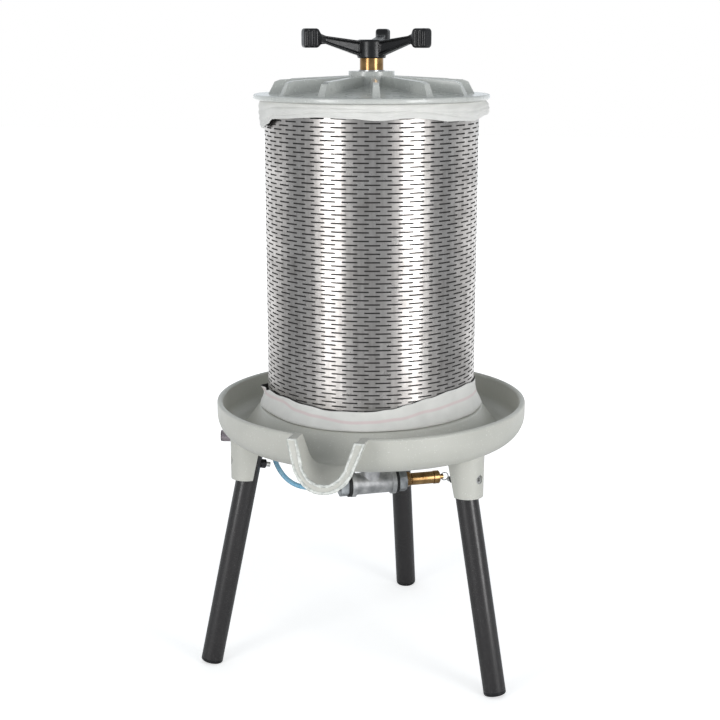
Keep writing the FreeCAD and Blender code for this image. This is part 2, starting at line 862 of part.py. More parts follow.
def membrane():
    """The rubber bladder: a sleeve whose two ends turn in to the column."""
    inner = size.membrane_radius - size.membrane_wall
    body = turned("membrane", [
        (size.column_radius + size.soft_gap, membrane_foot),
        (size.membrane_radius, membrane_foot),
        (size.membrane_radius, size.membrane_top_height),
        (size.column_thread_radius + size.soft_gap, size.membrane_top_height),
        (size.column_thread_radius + size.soft_gap, size.membrane_top_height - size.membrane_wall),
        (inner, size.membrane_top_height - size.membrane_wall),
        (inner, membrane_foot + size.membrane_wall),
        (size.column_radius + size.soft_gap, membrane_foot + size.membrane_wall),
    ])
    round_rings(body, size.membrane_round, [
        (size.membrane_radius, membrane_foot),
        (size.membrane_radius, size.membrane_top_height),
    ])
    round_rings(body, size.membrane_round - size.membrane_wall, [
        (inner, membrane_foot + size.membrane_wall),
        (inner, size.membrane_top_height - size.membrane_wall),
    ])
    keep(body, "membrane")


def slot_rows(body, name, first_height, first_turn):
    """Cut every second row of slots, all of it from one slot."""
    document.recompute()
    sketch = body_sketch(body, "XZ_Plane", name + "_slot")
    half = size.slot_length / 2
    draw_outline(sketch, [
        (-half, first_height),
        (half, first_height),
        (half, first_height + size.slot_width),
        (-half, first_height + size.slot_width),
    ])
    sketch.AttachmentOffset = FreeCAD.Placement(spot(0, 0, 0), turn((0, 1, 0), first_turn))
    pocket = body.newObject("PartDesign::Pocket", name + "_pocket")
    pocket.Profile = sketch
    bind(pocket, Length=size.basket_radius + size.basket_wall)
    document.recompute()
    pattern = body.newObject("PartDesign::MultiTransform", name + "_rows")
    pattern.Originals = [pocket]
    around = body.newObject("PartDesign::PolarPattern", name + "_around")
    around.Axis = (sketch, ["V_Axis"])
    around.Angle = 360
    bind(around, Occurrences=size.slots_per_row)
    upward = body.newObject("PartDesign::LinearPattern", name + "_upward")
    upward.Direction = (sketch, ["V_Axis"])
    bind(upward, Length=(size.slot_row_pairs - 1) * 2 * size.slot_row_step, Occurrences=size.slot_row_pairs)
    pattern.Transformations = [around, upward]
    body.Tip = pattern


def basket():
    """The slotted sheet cylinder. It has every real slot's size, in a coarser pattern."""
    body = turned("basket", [
        (basket_bore, basket_foot),
        (size.basket_radius, basket_foot),
        (size.basket_radius, basket_top),
        (basket_bore, basket_top),
    ])
    first = basket_foot + size.slot_margin
    slot_rows(body, "even", first, 0)
    slot_rows(body, "odd", first + size.slot_row_step, 180 / float(size.slots_per_row))
    keep(body, "basket")


def press_cloth():
    """The cloth sleeve: inside the basket, folded over its rim and turned out and up under its foot."""
    skin = basket_bore - size.soft_gap
    lining = skin - size.cloth_thickness
    outside = size.basket_radius + size.soft_gap
    cuff_top = basket_foot + size.cuff_height
    hem_foot = basket_top - size.hem_height
    cloth_top = basket_top + size.soft_gap + size.cloth_thickness
    keep(turned("press_cloth", [
        (lining, cloth_foot),
        (outside + size.cuff_bulge - size.cuff_foot_inset, cloth_foot),
        (outside + size.cuff_bulge, cloth_foot + size.cuff_bulge_height),
        (outside + size.cuff_bulge / 2, cloth_foot + size.cuff_shoulder_height),
        (outside + size.cloth_thickness, cuff_top),
        (outside, cuff_top),
        (outside, cloth_foot + size.cloth_thickness),
        (skin, cloth_foot + size.cloth_thickness),
        (skin, basket_top + size.soft_gap),
        (outside, basket_top + size.soft_gap),
        (outside, hem_foot),
        (outside + size.hem_bulge / 2, hem_foot),
        (outside + size.hem_bulge, hem_foot + size.hem_height / 2),
        (outside + size.hem_bulge - size.hem_top_inset, cloth_top),
        (lining, cloth_top),
    ]), "press_cloth")


def lid():
    """The ribbed casting: flange, dished panel, boss, centring lip and radial ribs under a conical crown."""
    flange_top = lid_foot + size.lid_flange
    lip_outside = basket_bore - size.soft_gap - size.cloth_thickness - size.lid_lip_play
    lip_inside = lip_outside - size.lid_lip_width
    dish_height = lid_foot + size.lid_dish_rise + size.lid_flange
    body = turned("lid", [
        (size.lid_bore, boss_top),
        (size.lid_boss_radius, boss_top),
        (size.lid_boss_radius, dish_height),
        (size.lid_dish_radius, flange_top),
        (size.lid_radius, flange_top),
        (size.lid_radius, lid_foot),
        (lip_outside, lid_foot),
        (lip_outside, lid_foot - size.lid_lip_depth),
        (lip_inside, lid_foot - size.lid_lip_depth),
        (lip_inside - size.lid_wall / 2, lid_foot),
        (size.lid_boss_radius, dish_height - size.lid_wall),
        (size.lid_bore, dish_height - size.lid_wall),
    ])
    round_rings(body, size.lid_edge_round, [(size.lid_radius, flange_top), (size.lid_radius, lid_foot)])
    document.recompute()
    bar = body_sketch(body, "YZ_Plane", "lid_rib_section")
    rib_foot = flange_top - size.lid_rib_root
    rib_start = size.lid_boss_radius - size.lid_rib_root
    crown = lid_foot + size.lid_boss_height
    draw_outline(bar, [
        (-size.lid_rib_foot_width / 2, rib_foot),
        (size.lid_rib_foot_width / 2, rib_foot),
        (size.lid_rib_top_width / 2, crown),
        (-size.lid_rib_top_width / 2, crown),
    ])
    bar.AttachmentOffset = FreeCAD.Placement(spot(0, 0, rib_start), turn((0, 0, 1), 0))
    pad = body.newObject("PartDesign::Pad", "lid_rib")
    pad.Profile = bar
    bind(pad, Length=size.lid_dish_radius - rib_start)
    document.recompute()
    ribs = body.newObject("PartDesign::PolarPattern", "lid_ribs")
    ribs.Originals = [pad]
    ribs.Axis = (origin_feature(body, "Z_Axis"), [""])
    ribs.Angle = 360
    bind(ribs, Occurrences=size.lid_rib_count)
    body.Tip = ribs
    document.recompute()
    above = body_sketch(body, "XZ_Plane", "lid_crown_outline")
    draw_outline(above, [
        (size.lid_dish_radius, flange_top),
        (size.lid_rib_edge_radius, lid_foot + size.lid_rib_shoulder - size.lid_rib_edge_drop),
        (size.lid_rib_shoulder_radius, lid_foot + size.lid_rib_shoulder),
        (size.lid_boss_radius, lid_foot + size.lid_rib_crown),
        (size.lid_boss_radius, boss_top + size.lid_flange),
        (size.lid_radius, boss_top + size.lid_flange),
        (size.lid_radius, flange_top),
    ])
    crown_cut = body.newObject("PartDesign::Groove", "lid_crown")
    crown_cut.Profile = above
    crown_cut.ReferenceAxis = (above, ["V_Axis"])
    crown_cut.Angle = 360
    body.Placement = upright(0, size.lid_rib_turn)
    keep(body, "lid")


def handle_section(name, radius, width, height, foot):
    """An upright rectangle across an arm of the handle."""
    sketch = document.addObject("Sketcher::SketchObject", name)
    draw_outline(sketch, [
        (-width / 2, hub_foot + foot),
        (width / 2, hub_foot + foot),
        (width / 2, hub_foot + foot + height),
        (-width / 2, hub_foot + foot + height),
    ])
    sketch.Placement = FreeCAD.Placement(spot(radius, 0, 0), turn((1, 1, 1), 120))
    return sketch


def star_handle():
    """The moulded handle: a hub with a blind bore and arms that rise to square knobs."""
    bore = size.bushing_spigot_radius + size.running_gap
    hub = turned("handle_hub", [
        (0, hub_top - size.hub_roof),
        (bore, hub_top - size.hub_roof),
        (bore, hub_foot),
        (size.hub_radius, hub_foot),
        (size.hub_radius, hub_top),
        (0, hub_top),
    ])
    round_rings(hub, size.hub_round, [(size.hub_radius, hub_top)])
    arm = loft("handle_arm", [
        handle_section("arm_root", size.arm_root_radius, size.arm_root_width, size.arm_root_height,
                       size.arm_root_lift),
        handle_section("arm_tip", size.arm_tip_radius, size.arm_tip_width, size.arm_tip_height,
                       size.arm_tip_lift),
        handle_section("knob_start", size.knob_start_radius, size.knob_width, size.knob_height,
                       size.knob_lift),
        handle_section("knob_end", size.knob_end_radius, size.knob_width, size.knob_height, size.knob_lift),
    ])
    document.recompute()
    rounded = document.addObject("Part::Fillet", "handle_arm_rounded")
    rounded.Base = arm
    knob_edges = []
    for index, edge in enumerate(arm.Shape.Edges, start=1):
        middle = (edge.Vertexes[0].X + edge.Vertexes[-1].X) / 2
        if middle > float(size.knob_start_radius + size.overlap):
            knob_edges.append((index, float(size.knob_round), float(size.knob_round)))
    rounded.Edges = knob_edges
    count = int(float(size.arm_count))
    arms = []
    for index in range(count):
        copy = document.addObject("Part::Compound", f"handle_arm_{index + 1}")
        copy.Links = [rounded]
        copy.Placement = upright(0, float(size.handle_azimuth) - 90 + 360 * index / count)
        arms.append(copy)
    spigot = cylinder("handle_bore", bore, hub_top - size.hub_roof - hub_foot, upright(hub_foot))
    keep(cut("star_handle", fuse("handle_solid", [hub] + arms), [spigot]), "star_handle")


def handle_stack():
    """The thrust washer on the lid's boss and the brass bushing in the handle."""
    keep(washer("thrust_washer", size.lid_bore, size.thrust_washer_radius, boss_top,
                size.thrust_washer_height), "thrust_washer")
    keep(turned("handle_bushing", [
        (thread_bearing, bushing_foot),
        (size.bushing_radius, bushing_foot),
        (size.bushing_radius, hub_foot),
        (size.bushing_spigot_radius, hub_foot),
        (size.bushing_spigot_radius, hub_foot + size.bushing_spigot_height),
        (thread_bearing, hub_foot + size.bushing_spigot_height),
    ]), "handle_bushing")


def manifold():
    """The cast tee: a barrel with a flange at each end and a branch up to the column."""
    right, left = size.manifold_right_length, -size.manifold_left_length
    flange = size.manifold_flange_width
    frame = outward(size.manifold_azimuth, size.manifold_height)
    barrel = turned("manifold_barrel", [
        (0, left),
        (size.manifold_flange_radius, left),
        (size.manifold_flange_radius, left + flange),
        (size.manifold_radius, left + flange),
        (size.manifold_radius, right - flange),
        (size.manifold_flange_radius, right - flange),
        (size.manifold_flange_radius, right),
        (0, right),
    ], frame)
    branch = cylinder("manifold_branch", size.branch_radius, size.branch_length,
                      upright(size.manifold_height))
    port = size.adapter_spigot_radius + size.running_gap
    depth = size.adapter_spigot_length + size.seat_gap
    tools = [
        cylinder("manifold_way", size.manifold_bore, right - left,
                 outward(size.manifold_azimuth, size.manifold_height, left)),
        cylinder("manifold_right_port", port, depth * 2,
                 outward(size.manifold_azimuth, size.manifold_height, right - depth)),
        cylinder("manifold_left_port", port, depth * 2,
                 outward(size.manifold_azimuth, size.manifold_height, left - depth)),
        cylinder("branch_socket", size.column_radius + size.running_gap, size.branch_length,
                 upright(column_foot)),
        cylinder("branch_way", size.column_bore, size.branch_length, upright(size.manifold_height)),
    ]
    keep(cut("manifold", fuse("manifold_solid", [barrel, branch]), tools), "manifold")


def adapter(side, face, azimuth, port_radius):
    """A hexagon adapter with a spigot in the manifold and a port outside."""
    hexagon_start = face + size.seal_width
    hexagon_end = hexagon_start + size.adapter_width
    spigot_start = face - size.adapter_spigot_length
    height = size.manifold_height
    hexagon = nut(f"{side}_adapter_hexagon", size.adapter_flats, size.adapter_width, size.adapter_bore,
                  outward(azimuth, height, hexagon_start))
    spigot_length = hexagon_start - spigot_start + size.overlap
    spigot = cylinder(f"{side}_adapter_spigot", size.adapter_spigot_radius, spigot_length,
                      outward(azimuth, height, spigot_start))
    tools = [
        cylinder(f"{side}_adapter_way", size.adapter_bore, hexagon_end - spigot_start,
                 outward(azimuth, height, spigot_start)),
        cylinder(f"{side}_adapter_port", port_radius + size.running_gap, size.port_depth * 2,
                 outward(azimuth, height, hexagon_end - size.port_depth)),
    ]
    item = cut(f"{side}_adapter", fuse(f"{side}_adapter_solid", [hexagon, spigot]), tools)
    keep(item, f"adapter_{side}")
    return hexagon_end


def manifold_ends():
    """Seals, adapters, relief valve and hose fitting, outward from each end of the manifold."""
    right_azimuth = size.manifold_azimuth
    left_azimuth = size.manifold_azimuth - 180
    bore = size.adapter_spigot_radius + size.seat_gap
    keep(together("manifold_washers", [
        washer("right_seal", bore, size.seal_radius, size.manifold_right_length, size.seal_width,
               outward(right_azimuth, size.manifold_height)),
        washer("left_seal", bore, size.seal_radius, size.manifold_left_length, size.seal_width,
               outward(left_azimuth, size.manifold_height)),
    ]), "manifold_washers")
    valve_start = adapter("right", size.manifold_right_length, right_azimuth, size.valve_port_radius)
    fitting_start = adapter("left", size.manifold_left_length, left_azimuth, size.fitting_port_radius)
    relief_valve(valve_start, right_azimuth)
    hose_fitting(fitting_start, left_azimuth)


def relief_valve(start, azimuth):
    """Brass body, spring-loaded stem and pull ring, outward from the adapter's face."""
    height = size.manifold_height
    frame = outward(azimuth, height)
    body_start = start + size.valve_hex_width
    cap_start = body_start + size.valve_body_length
    cap_end = cap_start + size.valve_cap_length
    spigot_start = start - size.port_depth + size.seat_gap
    stem_bore = size.stem_radius + size.running_gap
    stem_room = cap_end - size.stem_depth - size.overlap
    barrel = turned("valve_barrel", [
        (size.air_passage, spigot_start),
        (size.valve_port_radius, spigot_start),
        (size.valve_port_radius, start + size.overlap),
        (size.valve_body_radius - size.valve_groove, start + size.overlap),
        (size.valve_body_radius - size.valve_groove, body_start + size.valve_groove),
        (size.valve_body_radius, body_start + 2 * size.valve_groove),
        (size.valve_body_radius, cap_start - size.valve_groove),
        (size.valve_body_radius - size.valve_groove, cap_start - size.valve_groove),
        (size.valve_body_radius - size.valve_groove, cap_start),
        (size.valve_cap_radius, cap_start),
        (size.valve_cap_radius, cap_end - size.valve_groove),
        (size.valve_cap_radius - size.valve_groove, cap_end),
        (stem_bore, cap_end),
        (stem_bore, stem_room),
        (size.air_passage, stem_room),
    ], frame)
    hexagon = nut("valve_hexagon", size.valve_hex_flats, size.valve_hex_width, size.air_passage,
                  outward(azimuth, height, start))
    keep(fuse("safety_valve", [barrel, hexagon]), "safety_valve")
    stem = turned("stem_turned", [
        (0, cap_end - size.stem_depth),
        (size.stem_radius, cap_end - size.stem_depth),
        (size.stem_radius, cap_end),
        (size.stem_head_radius, cap_end),
        (size.stem_head_radius, cap_end + size.stem_head_length),
        (0, cap_end + size.stem_head_length),
    ], frame)
    hole_place = cap_end + size.stem_head_length / 2
    eye = facing(azimuth).multVec(spot(hole_place, 0, height - size.stem_head_length))
    hole = cylinder("ring_hole", size.ring_hole_radius, 2 * size.stem_head_length,
                    FreeCAD.Placement(eye, turn((0, 0, 1), 0)))
    keep(cut("relief_stem", stem, [hole]), "relief_stem")
    ring = bind(document.addObject("Part::Torus", "pull_ring"), Radius1=size.ring_radius,
                Radius2=size.ring_wire_radius)
    centre = hole_place + size.ring_radius - size.ring_wire_radius / 2
    ring.Placement = FreeCAD.Placement(facing(azimuth).multVec(spot(centre, 0, 0)) + spot(0, 0, height),
                                       facing(azimuth) * turn((1, 0, 0), 90))
    keep(ring, "pull_ring")


def hose_fitting(start, azimuth):
    """The push-in fitting that takes the hose, outward from the adapter's face."""
    body_start = start + size.fitting_hex_width
    body_end = body_start + size.fitting_body_length
    spigot_start = start - size.port_depth + size.seat_gap
    barrel = turned("fitting_barrel", [
        (size.air_passage, spigot_start),
        (size.fitting_port_radius, spigot_start),
        (size.fitting_port_radius, start + size.overlap),
        (size.collet_radius, start + size.overlap),
        (size.collet_radius, body_start),
        (size.fitting_body_radius, body_start),
        (size.fitting_body_radius, body_end),
        (size.collet_radius, body_end),
        (size.collet_radius, body_end + size.collet_length),
        (size.air_passage, body_end + size.collet_length),
    ], outward(azimuth, size.manifold_height))
    hexagon = nut("fitting_hexagon", size.fitting_hex_flats, size.fitting_hex_width, size.air_passage,
                  outward(azimuth, size.manifold_height, start))
    keep(fuse("hose_fitting", [barrel, hexagon]), "hose_fitting")


fitting_reach = (size.manifold_left_length + size.seal_width + size.adapter_width + size.fitting_hex_width
                 + size.fitting_body_length + size.collet_length)


def elbow_centre():
    return facing(size.inlet_azimuth).multVec(spot(size.elbow_reach, 0, size.inlet_height))


def elbow_leg_rotation():
    """The rotation that takes Z down the elbow's leg, tilted about the inlet's axis."""
    return facing(size.inlet_azimuth) * turn((1, 0, 0), 180 + float(size.elbow_tilt))


def hose_ends():
    """Where the hose leaves its fitting and where it enters the elbow."""
    start = facing(size.manifold_azimuth - 180).multVec(spot(fitting_reach, 0, size.manifold_height))
    leg_end = size.elbow_leg + size.collet_length
    end = elbow_centre() + elbow_leg_rotation().multVec(spot(0, 0, leg_end))
    return start, end


def air_hose():
    """The hose: straight runs joined by arcs as large as the runs allow."""
    start, end = hose_ends()
    corners = [start] + [FreeCAD.Vector(*point) for point in HOSE_ROUTE]
    last_run = (corners[-1] - corners[-2]).Length
    corners.append(end + elbow_leg_rotation().multVec(spot(0, 0, last_run)))
    corners.append(end)
    edges = []
    here = corners[0]
    radii = []
    for before, corner, after in zip(corners, corners[1:], corners[2:]):
        incoming, outgoing = corner - before, after - corner
        half_turn = incoming.getAngle(outgoing) / 2
        reach = HOSE_BEND_SHARE * min(incoming.Length, outgoing.Length)
        radii.append(reach / math.tan(half_turn))
        arc_start = corner - incoming.normalize() * reach
        arc_end = corner + outgoing.normalize() * reach
        towards = (arc_start + arc_end) * 0.5 - corner
        sagitta = radii[-1] / math.cos(half_turn) - radii[-1]
        middle = corner + towards.normalize() * sagitta
        edges.append(Part.LineSegment(here, arc_start).toShape())
        edges.append(Part.Arc(arc_start, middle, arc_end).toShape())
        here = arc_end
    edges.append(Part.LineSegment(here, corners[-1]).toShape())
    path = Part.Wire(edges)
    direction = corners[1] - corners[0]
    section = Part.Wire([Part.Circle(corners[0], direction, float(size.hose_radius)).toShape()])
    solid = path.makePipeShell([section], True, False)
    expected = math.pi * float(size.hose_radius) ** 2 * path.Length
    item = document.addObject("Part::Feature", "air_hose")
    item.Shape = solid
    keep(item, "air_hose")
    print("hose length", round(path.Length, 1), "volume share", round(solid.Volume / expected, 4))
    print("hose radii", [round(radius, 1) for radius in radii])
    print("hose route", [tuple(round(value, 1) for value in point) for point in corners])


def air_inlet():
    """The bulkhead socket in the tray's lug, its nut, the sliding sleeve and the hose elbow behind it."""
    azimuth, height = size.inlet_azimuth, size.inlet_height
    frame = outward(azimuth, height)
    hexagon_end = size.lug_outer_radius + size.socket_hex_width
    spigot_bore = size.elbow_spigot_radius + size.running_gap
    spigot_end = size.inlet_shank_inner + size.elbow_spigot_length + size.seat_gap
    bore_start = size.socket_reach - size.socket_bore_depth
    barrel = turned("socket_barrel", [
        (spigot_bore, size.inlet_shank_inner),
        (size.inlet_shank_radius, size.inlet_shank_inner),
        (size.inlet_shank_radius, size.lug_outer_radius + size.overlap),
        (size.socket_radius, size.lug_outer_radius + size.overlap),
        (size.socket_radius, size.socket_reach - size.socket_lip_width),
        (size.socket_lip_radius, size.socket_reach - size.socket_lip_width),
        (size.socket_lip_radius, size.socket_reach),
        (size.socket_bore, size.socket_reach),
        (size.socket_bore, bore_start),
        (size.air_passage, bore_start),
        (size.air_passage, spigot_end),
        (spigot_bore, spigot_end),
    ], frame)
    hexagon = nut("socket_hexagon", size.socket_hex_flats, size.socket_hex_width, size.air_passage,
                  outward(azimuth, height, size.lug_outer_radius))
    hole = cylinder("socket_hexagon_way", size.air_passage, size.socket_reach,
                    outward(azimuth, height, size.lug_inner_radius))
    keep(fuse("inlet_socket", [barrel, cut("socket_collar", hexagon, [hole])]), "inlet_socket")
    keep(nut("inlet_nut", size.inlet_nut_flats, size.inlet_nut_width,
             size.inlet_shank_radius + size.running_gap,
             outward(azimuth, height, size.lug_inner_radius - size.inlet_nut_width)), "inlet_nut")
    sleeve_end = size.socket_reach - size.socket_lip_width - size.running_gap
    sleeve_start = sleeve_end - size.sleeve_length
    bore = size.socket_radius + size.running_gap
    keep(turned("socket_sleeve", [
        (bore, sleeve_start),
        (size.sleeve_radius - size.sleeve_chamfer, sleeve_start),
        (size.sleeve_radius, sleeve_start + size.sleeve_chamfer),
        (size.sleeve_radius, sleeve_end - size.sleeve_chamfer),
        (size.sleeve_radius - size.sleeve_chamfer, sleeve_end),
        (bore, sleeve_end),
    ], frame), "socket_sleeve")
    elbow_start = size.elbow_reach - size.elbow_back
    elbow_end = size.inlet_shank_inner
    head = turned("elbow_head", [
        (0, elbow_start),
        (size.elbow_radius - size.elbow_chamfer, elbow_start),
        (size.elbow_radius, elbow_start + size.elbow_chamfer),
        (size.elbow_radius, elbow_end),
        (size.elbow_spigot_radius, elbow_end),
        (size.elbow_spigot_radius, elbow_end + size.elbow_spigot_length),
        (0, elbow_end + size.elbow_spigot_length),
    ], frame)
    leg_frame = FreeCAD.Placement(elbow_centre(), elbow_leg_rotation())
    branch = turned("elbow_leg", [
        (0, 0),
        (size.elbow_leg_radius, 0),
        (size.elbow_leg_radius, size.elbow_leg),
        (size.collet_radius, size.elbow_leg),
        (size.collet_radius, size.elbow_leg + size.collet_length),
        (0, size.elbow_leg + size.collet_length),
    ], leg_frame)
    ways = [
        cylinder("elbow_way", size.air_passage, size.elbow_reach,
                 outward(azimuth, height, size.elbow_reach)),
        cylinder("elbow_leg_way", size.air_passage, size.elbow_leg + size.collet_length, leg_frame),
    ]
    keep(cut("inlet_elbow", fuse("elbow_solid", [head, branch]), ways), "inlet_elbow")


def check(item):
    """Stop when a sub-part or anything it is made from has failed."""
    for state in item.State:
        if state in ("Invalid", "Error"):
            raise RuntimeError(f"{item.Label} is {state}")


def write_parts():
    document.recompute()
    for item in document.Objects:
        check(item)
    for item in nodes:
        shape = item.Shape
        if shape.isNull() or not shape.isValid() or not shape.Solids:
            raise RuntimeError(f"{item.Label} has no valid solid")
        print(item.Label, len(shape.Solids), "solids", round(shape.Volume / 1000, 1), "cm3")
    os.makedirs("parts", exist_ok=True)
    for item in nodes:
        item.Shape.exportStep(f"parts/{item.Label}.step")


tray()
for leg_side, leg_azimuth in LEGS:
    leg(leg_side, leg_azimuth)
    foot_cap(leg_side, leg_azimuth)
fasteners()
column()
column_clamps()
membrane()
manifold()
manifold_ends()
air_inlet()
air_hose()
basket()
press_cloth()
lid()
handle_stack()
star_handle()
write_parts()
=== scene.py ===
"""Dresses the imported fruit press: camera, light, materials and the pieces that need a finer shape.

Lengths are in metres, in the model's own frame: Z up from the floor, the spout along -Y. Azimuths are in
degrees from the spout towards +X, as seen from above.
"""

import math

import bmesh
import bpy
from mathutils import Matrix, Vector, noise
from mathutils.bvhtree import BVHTree


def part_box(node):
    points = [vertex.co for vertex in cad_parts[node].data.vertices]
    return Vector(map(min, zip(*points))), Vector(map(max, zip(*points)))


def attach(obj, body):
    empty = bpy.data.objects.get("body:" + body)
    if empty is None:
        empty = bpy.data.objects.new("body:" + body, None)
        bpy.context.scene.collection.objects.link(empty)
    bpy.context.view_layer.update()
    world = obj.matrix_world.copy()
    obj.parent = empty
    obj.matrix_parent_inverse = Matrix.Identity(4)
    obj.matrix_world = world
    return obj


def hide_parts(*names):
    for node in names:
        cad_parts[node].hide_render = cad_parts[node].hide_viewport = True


MM = 0.001

# The photograph's viewpoint, solved from the ellipses of the rim, basket and lid, and from the feet.
CAMERA_AZIMUTH = 14.2
CAMERA_DISTANCE, CAMERA_HEIGHT = 2.14141, 0.99449
CAMERA_TILT, CAMERA_YAW = 13.27, 0.475
CAMERA_SENSOR, CAMERA_LENS = 36, 68.51

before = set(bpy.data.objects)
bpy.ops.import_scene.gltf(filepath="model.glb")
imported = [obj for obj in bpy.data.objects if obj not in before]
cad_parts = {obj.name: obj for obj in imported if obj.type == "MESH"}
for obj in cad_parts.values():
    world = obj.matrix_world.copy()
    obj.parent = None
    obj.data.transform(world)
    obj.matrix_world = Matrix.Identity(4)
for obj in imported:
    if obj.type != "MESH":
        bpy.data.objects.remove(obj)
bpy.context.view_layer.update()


def radial(azimuth, radius, height):
    """The point at this azimuth, radius and height."""
    angle = math.radians(azimuth)
    return Vector((radius * math.sin(angle), -radius * math.cos(angle), height))


def turn_from(azimuth, reference):
    """Degrees from a reference azimuth to another, from -180 to 180."""
    return (azimuth - reference + 180) % 360 - 180


def share_of(value, start, width):
    """How far a value has come through a band, from 0 at its start to 1 past its width."""
    return min(1, max(0, (value - start) / width))


def add_object(name, data):
    """A new object in the scene."""
    added = bpy.data.objects.new(name, data)
    bpy.context.scene.collection.objects.link(added)
    return added


def place_camera():
    """The camera at the photograph's viewpoint."""
    camera = add_object("camera", bpy.data.cameras.new("camera"))
    camera.data.sensor_width = CAMERA_SENSOR
    camera.data.lens = CAMERA_LENS
    camera.location = radial(CAMERA_AZIMUTH, CAMERA_DISTANCE, CAMERA_HEIGHT)
    turns = (90 - CAMERA_TILT, 0, CAMERA_AZIMUTH + CAMERA_YAW)
    camera.rotation_euler = [math.radians(angle) for angle in turns]
    bpy.context.scene.camera = camera


# Materials


def srgb(red, green, blue):
    """A display colour with levels from 0 to 255, as the linear colour that a shader takes."""
    linear = []
    for level in (red, green, blue):
        share = level / 255
        linear.append(share / 12.92 if share <= 0.04045 else ((share + 0.055) / 1.055) ** 2.4)
    return (*linear, 1)


# The mix node's two inputs and its output, by the kind of value it mixes.
MIX_SOCKETS = {"FLOAT": (2, 3, 0), "RGBA": (6, 7, 2)}


class Nodes:
    """A node tree, with short ways of adding nodes to it."""

    def __init__(self, tree):
        self.tree = tree

    def add(self, kind, **inputs):
        """A shader node with some of its inputs set or linked."""
        node = self.tree.nodes.new("ShaderNode" + kind)
        for socket, value in inputs.items():
            self.feed(node.inputs[socket.replace("_", " ")], value)
        return node

    def feed(self, socket, value):
        """Set an input, or link it where the value is another node's output."""
        if isinstance(value, bpy.types.NodeSocket):
            self.tree.links.new(value, socket)
        else:
            socket.default_value = value

    def operate(self, kind, operation, *values):
        """A Math or VectorMath node, fed in order."""
        node = self.add(kind)
        node.operation = operation
        for socket, value in zip(node.inputs, values):
            self.feed(socket, value)
        return node.outputs["Value"]

    def mix(self, share, first, second, kind="RGBA"):
        """Between two colours, or between two numbers where the kind is FLOAT."""
        node = self.add("Mix")
        node.data_type = kind
        start, end, result = MIX_SOCKETS[kind]
        for index, value in ((0, share), (start, first), (end, second)):
            self.feed(node.inputs[index], value)
        return node.outputs[result]

    def map_range(self, value, span, levels, interpolation="LINEAR"):
        """The level for a value, from one end of a span to the other, held past both ends."""
        node = self.add("MapRange", Value=value, From_Min=span[0], From_Max=span[1],
                        To_Min=levels[0], To_Max=levels[1])
        node.interpolation_type = interpolation
        return node.outputs["Result"]


class Finish(Nodes):
    """A material, with short ways of adding the nodes that the finishes share."""

    def __init__(self, name, **sockets):
        self.material = bpy.data.materials.new(name)
        self.material.use_nodes = True
        super().__init__(self.material.node_tree)
        self.shader = self.tree.nodes["Principled BSDF"]
        for socket, value in sockets.items():
            self.feed(self.shader.inputs[socket.replace("_", " ")], value)

    def mottle(self, scale, detail=3.0, stretch=(1, 1, 1)):
        """Noise from 0 to 1 in the piece's own space, with this many blotches to the metre."""
        place = self.add("Mapping", Vector=self.add("TexCoord").outputs["Object"], Scale=stretch)
        return self.add("TexNoise", Vector=place.outputs["Vector"], Scale=scale, Detail=detail).outputs["Fac"]

    def ramp(self, level, *stops):
        """Colours or greys by level, from (position, colour) pairs."""
        node = self.add("ValToRGB", Fac=level)
        elements = node.color_ramp.elements
        while len(elements) < len(stops):
            elements.new(0.5)
        for element, (position, colour) in zip(elements, stops):
            element.position = position
            element.color = colour if hasattr(colour, "__len__") else (colour, colour, colour, 1)
        return node.outputs["Color"]

    def edges(self, radius):
        """Rounded shading normals, and how strongly each point lies on a sharp edge."""
        rounded = self.add("Bevel", Radius=radius).outputs["Normal"]
        true = self.add("NewGeometry").outputs["Normal"]
        likeness = self.operate("VectorMath", "DOT_PRODUCT", rounded, true)
        return rounded, self.ramp(likeness, (0.75, 1.0), (0.985, 0.0))

    def bump(self, height, strength, distance, normal=None):
        """Shading normals for a relief, laid over others where they are given."""
        node = self.add("Bump", Height=height, Strength=strength, Distance=distance)
        if normal:
            self.feed(node.inputs["Normal"], normal)
        return node.outputs["Normal"]

    def finish(self, colour, roughness, normal=None):
        """The material, once its shader is fed."""
        for socket, value in (("Base Color", colour), ("Roughness", roughness), ("Normal", normal)):
            if value is not None:
                self.feed(self.shader.inputs[socket], value)
        return self.material


def painted(name, colour, shade, edge, specks=0.5, rough=0.36, coat=0.0, blotches=9):
    """Satin paint over a sand casting: orange peel, faint mottling, light specks as painted glints, and light
    edges, partly wear and partly painted highlight.
    """
    look = Finish(name, Specular_IOR_Level=0.5, Coat_Weight=coat, Coat_Roughness=0.14)
    rounded, rim = look.edges(2.0 * MM)
    body = look.ramp(look.mottle(blotches, 4), (0.35, shade), (0.65, colour))
    # Light specks are painted glints; edges turn lighter, partly from wear and partly as painted highlight.
    painted_glints = look.ramp(look.mottle(420, 1), (0.66, 0.0), (0.72, specks))
    tint = look.mix(rim, look.mix(painted_glints, body, edge), edge)
    gloss = look.ramp(look.mottle(60), (0.3, rough - 0.06), (0.7, rough + 0.06))
    peel = look.bump(look.mottle(700, 2), 0.12, 0.3 * MM, rounded)
    return look.finish(tint, gloss, look.bump(look.mottle(140), 0.1, 0.6 * MM, peel))


def powder_coat():
    """Black powder coat with a fine light grain, rubbed on its edges."""
    look = Finish("black_powder", Coat_Weight=0.4, Coat_Roughness=0.12)
    rounded, rim = look.edges(0.5 * MM)
    grain = look.mottle(1300, 2)
    specks = look.ramp(grain, (0.5, srgb(26, 23, 24)), (0.62, srgb(36, 33, 34)), (0.72, srgb(96, 93, 94)))
    gloss = look.ramp(look.mottle(90), (0.3, 0.34), (0.7, 0.46))
    return look.finish(look.mix(rim, specks, srgb(70, 68, 72)), gloss, look.bump(grain, 0.3, 0.2 * MM, rounded))


